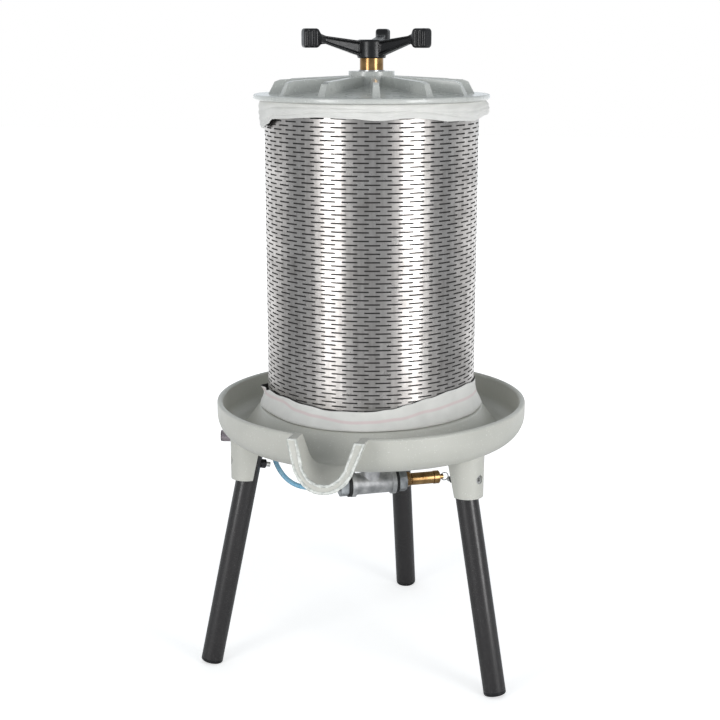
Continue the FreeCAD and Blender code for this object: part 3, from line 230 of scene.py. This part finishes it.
def moulded(name, colour, rough, grain=0.2, round_edges=True):
    """Moulded plastic or rubber with a fine grain."""
    look = Finish(name)
    rounded = look.edges(0.8 * MM)[0] if round_edges else None
    darker = (*(0.6 * part for part in colour[:3]), 1)
    tone = look.ramp(look.mottle(40), (0.3, colour), (0.8, darker))
    gloss = look.ramp(look.mottle(150), (0.3, rough - 0.05), (0.7, rough + 0.07))
    return look.finish(tone, gloss, look.bump(look.mottle(1600, 2), grain, 0.1 * MM, rounded))


def metal(name, bright, dull, rough, grain=(1, 1, 1), pits=0.15, scale=120):
    """Bare metal whose tone and gloss vary with a directed grain."""
    look = Finish(name, Metallic=1.0)
    rounded, rim = look.edges(0.5 * MM)
    tone = look.ramp(look.mottle(scale, 5, grain), (0.3, dull), (0.7, bright))
    gloss = look.ramp(look.mottle(scale / 2, 3, grain), (0.3, rough - 0.06), (0.7, rough + 0.08))
    relief = look.bump(look.mottle(scale * 8, 3, grain), pits, 0.1 * MM, rounded)
    return look.finish(look.mix(rim, tone, bright), gloss, relief)


def basket_steel():
    """Bright slotted sheet, a little mottled, with an upright grain."""
    look = Finish("basket_steel", Metallic=1.0)
    clouds = look.mottle(28, 6)
    streaks = look.mottle(160, 3, (1, 1, 0.12))
    tone = look.mix(0.4, look.ramp(clouds, (0.3, srgb(152, 148, 145)), (0.7, srgb(204, 200, 197))),
                    look.ramp(streaks, (0.3, srgb(156, 152, 149)), (0.7, srgb(208, 204, 201))))
    gloss = look.ramp(clouds, (0.25, 0.36), (0.75, 0.24))
    return look.finish(tone, gloss, look.bump(streaks, 0.12, 0.2 * MM))


def hose_skin():
    """Clear blue hose plastic."""
    look = Finish("blue_hose", Transmission_Weight=0.35, IOR=1.45, Coat_Weight=0.4, Coat_Roughness=0.1)
    tone = look.ramp(look.mottle(60), (0.3, srgb(128, 192, 226)), (0.7, srgb(176, 220, 240)))
    return look.finish(tone, look.ramp(look.mottle(200), (0.3, 0.18), (0.7, 0.28)))


STRIPE_WIDTH = 4.4 * MM


def net_cloth(name, seen, shade, stripe=None):
    """Woven net: crossing threads laid out by the cloth's own measure, and a stripe along that measure's zero."""
    look = Finish(name, Sheen_Weight=0.25, Sheen_Roughness=0.5)
    measure = look.add("TexCoord").outputs["UV"]
    threads = []
    for direction in ("X", "Y"):
        wave = look.add("TexWave", Vector=measure, Scale=320.0, Distortion=0.6)
        wave.bands_direction = direction
        threads.append(wave.outputs["Fac"])
    weave = look.operate("Math", "MAXIMUM", *threads)
    tone = look.ramp(look.mottle(35, 4), (0.3, shade), (0.7, seen))
    if stripe:
        along = look.add("SeparateXYZ", Vector=measure).outputs["Y"]
        widths_away = look.operate("Math", "DIVIDE", look.operate("Math", "ABSOLUTE", along), STRIPE_WIDTH)
        tone = look.mix(look.ramp(widths_away, (0.25, 0.6), (0.75, 0.0)), tone, stripe)
    gloss = look.ramp(look.mottle(300), (0.3, 0.75), (0.7, 0.9))
    return look.finish(tone, gloss, look.bump(weave, 0.35, 0.25 * MM))


# Meshes


def new_piece(name, vertices, faces, finish, body, sharp_angle=40):
    """A mesh piece that rides on a body, shaded smooth but for its sharp edges."""
    mesh = bpy.data.meshes.new(name)
    mesh.from_pydata(vertices, [], faces)
    mesh.validate()
    piece = add_object(name, mesh)
    mesh.materials.append(finish)
    mesh.shade_smooth()
    mesh.set_sharp_from_angle(angle=math.radians(sharp_angle))
    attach(piece, body)
    return piece


def modify(piece, kind, **settings):
    """Add a modifier to a piece."""
    modifier = piece.modifiers.new(kind.lower(), kind)
    for name, value in settings.items():
        setattr(modifier, name, value)


def shaped_mesh(piece):
    """A new mesh of a piece's evaluated shape."""
    bpy.context.view_layer.update()
    shape = piece.evaluated_get(bpy.context.evaluated_depsgraph_get())
    return bpy.data.meshes.new_from_object(shape)


def bake(piece):
    """Replace a piece's mesh by its modified shape."""
    mesh = shaped_mesh(piece)
    piece.modifiers.clear()
    piece.data = mesh


SLOTS_PER_ROW = 31
SLOT_SHARE = 0.698
SLOT_WIDTH = 2.2 * MM
ROW_PITCH = 6.26 * MM
SHEET_THICKNESS = 1.5 * MM
# The least plain sheet between the slots and the foot, and between them and the top.
PLAIN_FOOT, PLAIN_TOP = 9 * MM, 7 * MM
# The middle of one slot that the photograph shows.
SLOT_AZIMUTH, SLOT_HEIGHT = -8.5, 849.15 * MM


def fine_basket(finish):
    """The slotted sheet with all its slots, each row shifted by half a pitch from the next."""
    low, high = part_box("basket")
    radius, foot, top = high.x, low.z, high.z
    # The slots of two neighbouring rows overlap, so their ends cut each pitch into four parts.
    marks = (0, SLOT_SHARE - 0.5, 0.5, SLOT_SHARE)
    row_parts, shifted_parts = (0, 1, 2), (2, 3, 0)
    azimuths = [SLOT_AZIMUTH + (index + mark - SLOT_SHARE / 2) * 360 / SLOTS_PER_ROW
                for index in range(SLOTS_PER_ROW) for mark in marks]
    rows_down = int((SLOT_HEIGHT - foot - PLAIN_FOOT) / ROW_PITCH)
    rows_up = int((top - SLOT_HEIGHT - PLAIN_TOP) / ROW_PITCH)
    levels, open_parts = [foot], []
    for row in range(-rows_down, rows_up + 1):
        middle = SLOT_HEIGHT + row * ROW_PITCH
        levels += [middle - SLOT_WIDTH / 2, middle + SLOT_WIDTH / 2]
        open_parts += [(), shifted_parts if row % 2 else row_parts]
    levels.append(top)
    open_parts.append(())
    columns = len(azimuths)
    vertices = [radial(azimuth, radius, level) for level in levels for azimuth in azimuths]
    faces = []
    for band, parts in enumerate(open_parts):
        below, above = band * columns, (band + 1) * columns
        for column in range(columns):
            if column % len(marks) not in parts:
                right = (column + 1) % columns
                faces.append((below + column, below + right, above + right, above + column))
    piece = new_piece("basket_sheet", vertices, faces, finish, "basket")
    modify(piece, "SOLIDIFY", thickness=SHEET_THICKNESS, offset=-1)
    bake(piece)
    piece.data.shade_smooth()
    piece.data.set_sharp_from_angle(angle=math.radians(30))
    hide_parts("basket")


# The cloth's shape by azimuth, in (azimuth, millimetres) points: the hem below the rim and its slack, the cuff
# above the foot and how far its fold stands out, and the stripe above the foot.
HEM_DROP = [(-180, 20), (-120, 21), (-88, 27), (-70, 37), (-57, 40), (-50, 32), (-44, 24), (-22, 20), (-10, 18),
            (5, 20), (19, 22), (33, 19), (57, 25), (72, 27), (99, 20), (125, 20)]
HEM_SLACK = [(-180, 7), (-90, 6), (-65, 7), (-40, 6), (0, 7), (40, 6), (80, 8), (99, 14), (112, 8)]
CUFF_RISE = [(-180, 30), (-110, 27), (-85, 24), (-71, 24), (-55, 32), (-36, 33), (-23, 30), (-8, 27), (15, 28),
             (24, 31), (34, 37), (46, 43), (60, 47.5), (75, 48.5), (95, 44), (125, 34)]
CUFF_FLARE = [(-180, 11), (-90, 12), (-67, 11), (-47, 7), (-23, 12), (-6, 14), (5, 12), (29, 7.5), (50, 4.5),
              (61, 4), (85, 8), (103, 12), (140, 11)]
STRIPE_RISE = [(-180, 16), (-75, 20), (-40, 26), (-27, 19), (-15, 16.5), (5, 12), (15, 13), (28, 16), (45, 23),
               (66, 26.5), (95, 25), (140, 18)]

CLOTH_COLUMNS = 360
CLOTH_THICKNESS = 0.7 * MM
HEM_STEPS = 24
LINING_STEPS = 12
CUFF_SHARES = (0.05, 0.12, 0.2, 0.3, 0.4, 0.5, 0.6, 0.7, 0.8, 0.9, 1)
# Creases that run round the hem: share of its height, sway, waves per turn, phase and depth.
HEM_CREASES = ((0.42, 0.16, 3, 0.6, 1.7 * MM), (0.66, 0.12, 2, 2.2, 1.3 * MM), (0.3, 0.2, 5, 4.0, 0.9 * MM))
# The cuff's free corner, which stands away from the basket.
FLAP_AZIMUTH, FLAP_HALF_WIDTH, FLAP_REACH = -79, 6, 11 * MM


def follow(points, azimuth):
    """A smooth closed run through (azimuth, millimetres) points that start at -180."""
    azimuth = turn_from(azimuth, 0)
    closed = points + [(points[0][0] + 360, points[0][1])]
    for (start, first), (end, last) in zip(closed, closed[1:]):
        if start <= azimuth < end:
            share = 0.5 - 0.5 * math.cos(math.pi * (azimuth - start) / (end - start))
            return MM * (first + share * (last - first))


def swell(azimuth, centre, half_width):
    """1 at an azimuth, falling smoothly to 0 this many degrees away."""
    away = abs(turn_from(azimuth, centre))
    return 0.5 + 0.5 * math.cos(math.pi * min(away / half_width, 1))


def hem_points(azimuth, wall, top):
    """The cloth's section outside the rim, from its hem up, as (radius, height) points."""
    angle = math.radians(azimuth)
    around = radial(azimuth, 1, 0)
    edge = top - follow(HEM_DROP, azimuth) + 0.4 * MM * math.sin(17 * angle + 0.4)
    slack = follow(HEM_SLACK, azimuth)
    points = []
    for step in range(HEM_STEPS + 1):
        share = step / HEM_STEPS
        drift = Vector((0, 0, 2.4 * share + 1.5 * math.sin(2 * around.x)))
        crease = noise.noise(around * 5 + drift) * 2.4 * MM
        for middle, sway, waves, phase, depth in HEM_CREASES:
            line = middle + sway * math.sin(waves * angle + phase)
            crease -= depth * math.exp(-((share - line) / 0.07) ** 2)
        fullness = math.sin(math.pi * (0.24 + 0.62 * share)) ** 0.6
        points.append((wall + 0.8 * MM + (slack + crease) * fullness, edge + share * (top + 0.1 * MM - edge)))
    return points


def cuff_points(azimuth, wall, foot):
    """The cloth's section outside the foot, from the fold up, as (radius, height) points."""
    around = radial(azimuth, 1, 0)
    rise = follow(CUFF_RISE, azimuth) + 0.3 * MM * math.sin(19 * math.radians(azimuth) + 1.2)
    flare = follow(CUFF_FLARE, azimuth)
    flap = FLAP_REACH * swell(azimuth, FLAP_AZIMUTH, FLAP_HALF_WIDTH)
    points = []
    for share in CUFF_SHARES:
        spread = math.exp(-(share * rise / (17 * MM)) ** 1.5)
        ripple = noise.noise(around * 9 + Vector((0, 0, share))) * 1.2 * MM * (0.3 + spread)
        out = flare * spread + max(ripple, -0.5 * MM) + flap * share ** 3
        points.append((wall + 0.6 * MM + out, foot + share * rise))
    return points


def cloth_section(azimuth):
    """The sleeve's section at an azimuth, from its hem outside the rim to its cuff outside the foot."""
    low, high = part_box("basket")
    radius, foot, top = high.x, low.z, high.z
    # The cloth's own middle, just off the sheet's two faces.
    outside, inside = radius + 0.9 * MM, radius - 2.6 * MM
    section = hem_points(azimuth, outside, top)
    section += [(radius + 3 * MM, top + 0.9 * MM), (radius, top + 1.1 * MM), (inside + 0.6 * MM, top + 0.8 * MM)]
    for step in range(LINING_STEPS + 1):
        height = top - 2 * MM - step / LINING_STEPS * (top - foot - 3 * MM)
        section.append((inside - 0.2 * MM, height))
    flare = follow(CUFF_FLARE, azimuth)
    section += [(inside + 0.6 * MM, foot - 0.6 * MM), (radius, foot - 0.8 * MM),
                (outside + 0.7 * flare, foot - 0.8 * MM), (outside + 0.95 * flare, foot - 0.2 * MM)]
    return section + cuff_points(azimuth, outside, foot)


def run_at(section, run, height):
    """How far along a section its cuff passes a height."""
    for step in range(len(section) - len(CUFF_SHARES), len(section)):
        below, above = section[step - 1][1], section[step][1]
        if above > height:
            return run[step - 1] + (height - below) / (above - below) * (run[step] - run[step - 1])


def press_cloth(seen, shaded):
    """The net sleeve that lines the basket, folded over the rim and turned out and up under its foot."""
    azimuths = [360 * column / CLOTH_COLUMNS for column in range(CLOTH_COLUMNS)]
    sections = [cloth_section(azimuth) for azimuth in azimuths]
    count = len(sections[0])
    vertices, measures = [], []
    for azimuth, section in zip(azimuths, sections):
        vertices += [radial(azimuth, radius, height) for radius, height in section]
        run = [0.0]
        for before, after in zip(section, section[1:]):
            run.append(run[-1] + math.dist(before, after))
        stripe = run_at(section, run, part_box("basket")[0].z + follow(STRIPE_RISE, azimuth))
        measures.append([length - stripe for length in run])
    faces = []
    for column in range(CLOTH_COLUMNS):
        here, beside = column * count, (column + 1) % CLOTH_COLUMNS * count
        for step in range(count - 1):
            faces.append((here + step, here + step + 1, beside + step + 1, beside + step))
    # The side of the cloth that faces the basket's steel takes a dark colour: painted shade, seen through the
    # slots.
    piece = new_piece("press_cloth_net", vertices, faces, shaded, "basket", 75)
    girth = 2 * math.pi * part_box("basket")[1].x
    layer = piece.data.uv_layers.new(name="cloth")
    for face in piece.data.polygons:
        closing = face.index // (count - 1) == CLOTH_COLUMNS - 1
        for loop, corner in zip(face.loop_indices, face.vertices):
            column, step = divmod(corner, count)
            turn = 1 if closing and column == 0 else column / CLOTH_COLUMNS
            layer.data[loop].uv = (turn * girth, measures[column][step])
    piece.data.materials.append(seen)
    modify(piece, "SOLIDIFY", thickness=CLOTH_THICKNESS, offset=0, material_offset=1)
    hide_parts("press_cloth")
    area = sum(math.dist(a, b) * (a[0] + b[0]) / 2 for section in sections for a, b in zip(section, section[1:]))
    area *= 2 * math.pi / CLOTH_COLUMNS


HANDLE_AZIMUTHS = (-56.3, 63.7, 183.7)
# The handle in millimetres: the hub's (radius, height) points, and for each section of an arm and its knob the
# distance out, half width, foot, top, corner radius and the recess in its flanks.
HUB_PROFILE = ((21.0, 0.0), (21.8, 0.8), (22.0, 24.5), (21.2, 26.8), (19.0, 27.6))
HUB_STEPS = 240
ARM_SECTIONS = (
    (12, 8.5, 0.5, 25.0, 2.0, 3.0),
    (30, 7.9, 6.4, 27.2, 2.0, 3.0),
    (74, 6.2, 21.3, 33.0, 2.0, 2.2),
    (82, 6.5, 20.5, 36.0, 2.0, 0.0),
    (86.5, 9.25, 16.5, 43.0, 3.5, 0.0),
    (89, 10.25, 15.5, 44.0, 4.5, 0.0),
    (106.5, 10.25, 15.5, 44.0, 4.5, 0.0),
    (109, 8.75, 17.0, 42.5, 4.5, 0.0),
    (109.5, 6.75, 19.0, 40.5, 4.0, 0.0),
)
VOXEL = 0.8 * MM
# A vertex this close to a plain face goes back onto it, less and less over the next stretch.
FLAT_REACH, FLAT_FADE = 0.2 * MM, 0.15 * MM
# The part of a knob that is grooved: distances out along its arm, heights, and how far out its sides begin.
KNOB_START, KNOB_END = 87 * MM, 108.5 * MM
KNOB_FOOT, KNOB_TOP = 17 * MM, 42.5 * MM
KNOB_FLANK = 7.5 * MM
GROOVES = (94 * MM, 102 * MM)
GROOVE_WIDTH, GROOVE_DEPTH = 2.0 * MM, 1.6 * MM
FLANK_FADE, END_FADE = 2 * MM, 3 * MM


def rounded_section(half_width, foot, top, corner, recess):
    """A closed ring of (across, height) points: a rectangle with rounded corners and recessed sides."""
    ring = []
    flank = top - foot - 2 * corner
    for right, up, start in ((1, 1, 0), (-1, 1, 90), (-1, -1, 180), (1, -1, 270)):
        x = right * (half_width - corner)
        z = (top - corner) if up > 0 else (foot + corner)
        for step in range(4):
            angle = math.radians(start + step * 30)
            ring.append((x + corner * math.cos(angle), z + corner * math.sin(angle)))
        if right != up:
            for share, depth in ((0.02, 0), (0.16, recess), (0.84, recess), (0.98, 0)):
                ring.append((right * (half_width - depth), z - up * share * flank))
    return ring


def add_tube(vertices, faces, rings):
    """Add a closed tube through rings of points, capped at both ends."""
    first, count = len(vertices), len(rings[0])
    for ring in rings:
        vertices.extend(ring)
    last = len(vertices) - count
    for base in range(first, last, count):
        for index in range(count):
            after = (index + 1) % count
            faces.append((base + index, base + after, base + count + after, base + count + index))
    faces.append(tuple(first + index for index in reversed(range(count))))
    faces.append(tuple(last + index for index in range(count)))


def star_handle(finish):
    """The moulded handle: hub, three arms with recessed flanks, and square knobs with upright grooves."""
    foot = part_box("star_handle")[0].z
    vertices, faces = [], []
    add_tube(vertices, faces, [[radial(360 * step / HUB_STEPS, MM * radius, foot + MM * height)
                                for step in range(HUB_STEPS)] for radius, height in HUB_PROFILE])
    for azimuth in HANDLE_AZIMUTHS:
        turn = Matrix.Rotation(math.radians(azimuth - 90), 4, "Z")
        rings = []
        for distance, *shape in ARM_SECTIONS:
            ring = rounded_section(*(MM * size for size in shape))
            rings.append([turn @ Vector((MM * distance, across, foot + height)) for across, height in ring])
        add_tube(vertices, faces, rings)
    piece = new_piece("star_handle_moulded", vertices, faces, finish, "handle")
    modify(piece, "REMESH", mode="VOXEL", voxel_size=VOXEL)
    modify(piece, "SMOOTH", factor=0.5, iterations=12)
    bake(piece)
    skin = BVHTree.FromPolygons(vertices, faces)
    for vertex in piece.data.vertices:
        flatten(vertex, skin)
        groove(vertex, foot)
    modify(piece, "SMOOTH", factor=0.5, iterations=4)
    bake(piece)
    piece.data.shade_smooth()
    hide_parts("star_handle")


def flatten(vertex, skin):
    """Bring a vertex that is close to the handle's plain faces back onto them; rounded edges keep their shape."""
    nearest, _, _, distance = skin.find_nearest(vertex.co)
    vertex.co = vertex.co.lerp(nearest, 1 - share_of(distance, FLAT_REACH, FLAT_FADE))


def groove(vertex, foot):
    """Press upright grooves into the sides of the nearest knob."""
    azimuth = math.degrees(math.atan2(vertex.co.x, -vertex.co.y))
    nearest = min(HANDLE_AZIMUTHS, key=lambda arm: abs(turn_from(azimuth, arm)))
    along_arm = Matrix.Rotation(math.radians(90 - nearest), 4, "Z")
    local = along_arm @ vertex.co
    height, side = local.z - foot, abs(local.y)
    if not KNOB_START < local.x < KNOB_END or side < KNOB_FLANK:
        return
    fade = share_of(side, KNOB_FLANK, FLANK_FADE)
    fade *= share_of(height, KNOB_FOOT, END_FADE) * share_of(KNOB_TOP - height, 0, END_FADE)
    depth = sum(math.exp(-((local.x - middle) / GROOVE_WIDTH) ** 2) for middle in GROOVES)
    local.y -= math.copysign(GROOVE_DEPTH * depth * fade, local.y)
    vertex.co = along_arm.inverted() @ local


def new_curve(name, points, kind, radius, resolution, finish):
    """A round tube along points, as a curve object."""
    curve = bpy.data.curves.new(name, "CURVE")
    curve.dimensions = "3D"
    curve.bevel_depth = radius
    curve.bevel_resolution = resolution
    spline = curve.splines.new(kind)
    spline.points.add(len(points) - 1)
    for target, point in zip(spline.points, points):
        target.co = (*point, 1)
    curve.materials.append(finish)
    return add_object(name, curve)


# The slope of the spout's sloping end face, and the line that the whole face lies past.
SPOUT_END_RISE, SPOUT_END_REACH = 71.5 * MM, 22 * MM
SPOUT_END_PAST = -264 * MM
BEAD_RADIUS, BEAD_INSET = 2.6 * MM, 0.9 * MM
LUMPS_TO_THE_METRE, LUMP_HEIGHT = 210, 1.5 * MM


def spout_rim():
    """The points round the edge of the spout's end face, a little inside it, read off the casting itself."""
    shape = bmesh.new()
    shape.from_mesh(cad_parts["tray"].data)
    bmesh.ops.remove_doubles(shape, verts=shape.verts, dist=0.01 * MM)
    slope = Vector((0, -SPOUT_END_RISE, SPOUT_END_REACH)).normalized()
    end_faces = {face for face in shape.faces
                 if face.normal.dot(slope) > 0.999 and face.calc_center_median().y < SPOUT_END_PAST}
    neighbours = {}
    for edge in shape.edges:
        if sum(face in end_faces for face in edge.link_faces) == 1:
            one, other = edge.verts
            neighbours.setdefault(one, []).append(other)
            neighbours.setdefault(other, []).append(one)
    start = next(iter(neighbours))
    loop, previous, here = [start], None, start
    while True:
        onward = [vertex for vertex in neighbours[here] if vertex != previous]
        previous, here = here, onward[0]
        if here == start:
            break
        loop.append(here)
    points = [vertex.co - slope * BEAD_INSET for vertex in loop]
    shape.free()
    return points


def spout_bead(finish):
    """The worn, lumpy bead along the edge of the spout's end face, in paint lighter than the tray's own: painted
    highlight.
    """
    tube = new_curve("spout_bead", spout_rim(), "POLY", BEAD_RADIUS, 3, finish)
    tube.data.splines[0].use_cyclic_u = True
    mesh = shaped_mesh(tube)
    bpy.data.objects.remove(tube)
    piece = add_object("spout_bead", mesh)
    for vertex in mesh.vertices:
        lump = noise.noise(vertex.co * LUMPS_TO_THE_METRE) * LUMP_HEIGHT
        vertex.co += vertex.normal * lump
    mesh.shade_smooth()
    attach(piece, "root")


# The hose's control points in millimetres, from the manifold's fitting to the elbow.
HOSE_ROUTE = [
    (-72.7, -42.0, 283.0), (-89.9, -51.9, 283.0), (-104.5, -57.0, 286.0), (-118.5, -58.6, 292.0),
    (-131.0, -58.4, 302.0), (-142.0, -56.0, 316.0), (-151.5, -47.7, 332.1), (-153.3, -38.9, 347.7),
]
HOSE_DIAMETER = 8 * MM


def air_hose(finish):
    """The blue hose from the manifold's fitting up to the elbow behind the air inlet."""
    route = [tuple(MM * part for part in point) for point in HOSE_ROUTE]
    piece = new_curve("air_hose_tube", route, "NURBS", HOSE_DIAMETER / 2, 6, finish)
    piece.data.resolution_u = 16
    piece.data.use_fill_caps = True
    spline = piece.data.splines[0]
    spline.order_u = 3
    spline.use_endpoint_u = True
    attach(piece, "root")
    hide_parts("air_hose")


# Surroundings

STRIP_DISTANCE, STRIP_HEIGHT = 2.3, 0.75
STRIP_AIM = Vector((0, 0, 0.62))
FLOOR_HALF_WIDTH = 12
AWAY_FROM_CAMERA = -radial(CAMERA_AZIMUTH, 1, 0)


def strip_light(name, azimuth, size, power):
    """A tall rectangular light that faces the press."""
    light = bpy.data.lights.new(name, "AREA")
    light.shape = "RECTANGLE"
    light.size, light.size_y = size
    light.energy = power
    lamp = add_object(name, light)
    lamp.location = radial(azimuth, STRIP_DISTANCE, STRIP_HEIGHT)
    lamp.rotation_euler = (lamp.location - STRIP_AIM).to_track_quat("Z", "Y").to_euler()


def light_scene():
    """Two strips beside the camera, and a studio that is bright behind the press and a little dimmer above it."""
    strip_light("strip_left", CAMERA_AZIMUTH - 42, (0.75, 1.5), 18)
    strip_light("strip_right", CAMERA_AZIMUTH + 43, (0.8, 1.5), 22)
    world = bpy.data.worlds.new("studio")
    bpy.context.scene.world = world
    world.use_nodes = True
    studio = Nodes(world.node_tree)
    direction = studio.add("TexCoord").outputs["Generated"]
    backward = studio.operate("VectorMath", "DOT_PRODUCT", direction, AWAY_FROM_CAMERA)
    upward = studio.operate("VectorMath", "DOT_PRODUCT", direction, (0, 0, 1))
    behind = studio.map_range(backward, (0.35, 0.8), (0.5, 0.95), "SMOOTHSTEP")
    above = studio.map_range(upward, (0.1, 0.5), (1.0, 0.85), "SMOOTHSTEP")
    lit = studio.operate("Math", "MULTIPLY", behind, above)
    seen = studio.add("LightPath").outputs["Is Camera Ray"]
    background = studio.tree.nodes["Background"]
    studio.feed(background.inputs["Strength"], studio.mix(seen, lit, 1, "FLOAT"))
    studio.feed(background.inputs["Color"], studio.mix(seen, (0.93, 0.98, 1.02, 1), (1, 1, 1, 1)))


def lay_floor():
    """A wide white floor that keeps the press's shadow, and shines behind the press like a lit backdrop."""
    mesh = bpy.data.meshes.new("floor")
    half = FLOOR_HALF_WIDTH
    mesh.from_pydata([(-half, -half, 0), (half, -half, 0), (half, half, 0), (-half, half, 0)], [], [(0, 1, 2, 3)])
    floor = add_object("floor", mesh)
    paper = bpy.data.materials.new("studio_floor")
    paper.use_nodes = True
    look = Nodes(paper.node_tree)
    look.tree.nodes.remove(look.tree.nodes["Principled BSDF"])
    place = look.add("TexCoord").outputs["Object"]
    from_press = look.operate("VectorMath", "LENGTH", place)
    behind_press = look.operate("VectorMath", "DOT_PRODUCT", place, AWAY_FROM_CAMERA)
    shown = look.map_range(from_press, (0.45, 1.6), (0.55, 1.0))
    reflected = look.map_range(behind_press, (0.5, 2.0), (0.0, 0.95))
    seen = look.add("LightPath").outputs["Is Camera Ray"]
    matt = look.add("BsdfDiffuse", Color=(0.8, 0.8, 0.8, 1))
    glow = look.add("Emission", Strength=look.mix(seen, reflected, shown, "FLOAT"))
    both = look.add("AddShader")
    look.feed(both.inputs[0], matt.outputs[0])
    look.feed(both.inputs[1], glow.outputs[0])
    look.feed(look.tree.nodes["Material Output"].inputs["Surface"], both.outputs[0])
    mesh.materials.append(paper)


def dress(finish, *nodes):
    """Give CAD nodes a material."""
    for name in nodes:
        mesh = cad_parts[name].data
        mesh.materials.clear()
        mesh.materials.append(finish)


place_camera()
bpy.context.scene.view_settings.view_transform = "Standard"

grey_paint = painted("grey_paint", srgb(204, 203, 195), srgb(196, 196, 188), srgb(228, 229, 224))
lid_paint = painted("lid_paint", srgb(208, 210, 205), srgb(198, 200, 196), srgb(232, 236, 231),
                    specks=0.8, rough=0.3, coat=0.7)
# A lighter copy of the tray's grey paint, in fine blotches: painted highlight on the lumpy spout bead.
bead_painted_highlight = painted("bead_painted_highlight", srgb(234, 236, 230), srgb(192, 195, 189), srgb(246, 246, 242),
                     specks=0.6, rough=0.2, coat=0.8, blotches=160)
black_powder = powder_coat()
cap_plastic = moulded("black_plastic", srgb(26, 26, 28), 0.16, 0.05)
handle_plastic = moulded("handle_plastic", srgb(17, 17, 19), 0.28, 0.1, round_edges=False)
fitting_plastic = moulded("fitting_plastic", srgb(40, 40, 43), 0.4)
rubber = moulded("seal_rubber", srgb(32, 32, 34), 0.6, 0.3)
bladder_rubber = moulded("membrane_rubber", srgb(44, 44, 46), 0.62, 0.4)
black_steel = metal("black_steel", srgb(70, 70, 72), srgb(46, 46, 48), 0.35)
bolt_steel = metal("bolt_steel", srgb(216, 216, 214), srgb(176, 176, 175), 0.36)
steel = metal("steel", srgb(214, 213, 212), srgb(176, 176, 176), 0.24, grain=(1, 1, 6))
zinc = metal("zinc_steel", srgb(190, 194, 196), srgb(130, 134, 138), 0.34, scale=90)
wire = metal("wire_steel", srgb(128, 128, 131), srgb(78, 78, 82), 0.3)
plate = metal("plain_aluminium", srgb(214, 215, 216), srgb(190, 191, 193), 0.32)
cast = metal("cast_aluminium", srgb(222, 222, 222), srgb(156, 157, 159), 0.5, pits=0.8, scale=70)
brass = metal("brass", srgb(184, 150, 104), srgb(126, 96, 60), 0.2, scale=60)
nickel = metal("nickel", srgb(196, 186, 190), srgb(150, 140, 146), 0.22)
cloth = net_cloth("cloth", srgb(233, 232, 228), srgb(222, 221, 217), srgb(222, 198, 198))
# Dark cloth for the side that faces the steel: painted shade.
painted_shade_cloth = net_cloth("cloth_in_the_shade", srgb(60, 57, 56), srgb(44, 42, 42))

dress(grey_paint, "tray")
dress(lid_paint, "lid")
dress(black_powder, "leg_left", "leg_right", "leg_back")
dress(cap_plastic, "foot_cap_left", "foot_cap_right", "foot_cap_back")
dress(black_steel, "leg_nuts")
dress(bolt_steel, "leg_bolts")
dress(steel, "column", "thrust_washer")
dress(zinc, "column_nut", "clamp_nut", "adapter_left", "adapter_right", "inlet_nut")
dress(wire, "pull_ring")
dress(rubber, "column_gasket", "manifold_washers")
dress(bladder_rubber, "membrane")
dress(plate, "lower_clamp_plate", "upper_support_plate", "upper_clamp_plate")
dress(cast, "manifold")
dress(brass, "safety_valve", "relief_stem", "handle_bushing")
dress(fitting_plastic, "hose_fitting", "inlet_elbow")
dress(nickel, "inlet_socket", "socket_sleeve")

air_hose(hose_skin())
fine_basket(basket_steel())
press_cloth(cloth, painted_shade_cloth)
star_handle(handle_plastic)
spout_bead(bead_painted_highlight)
lay_floor()
light_scene()
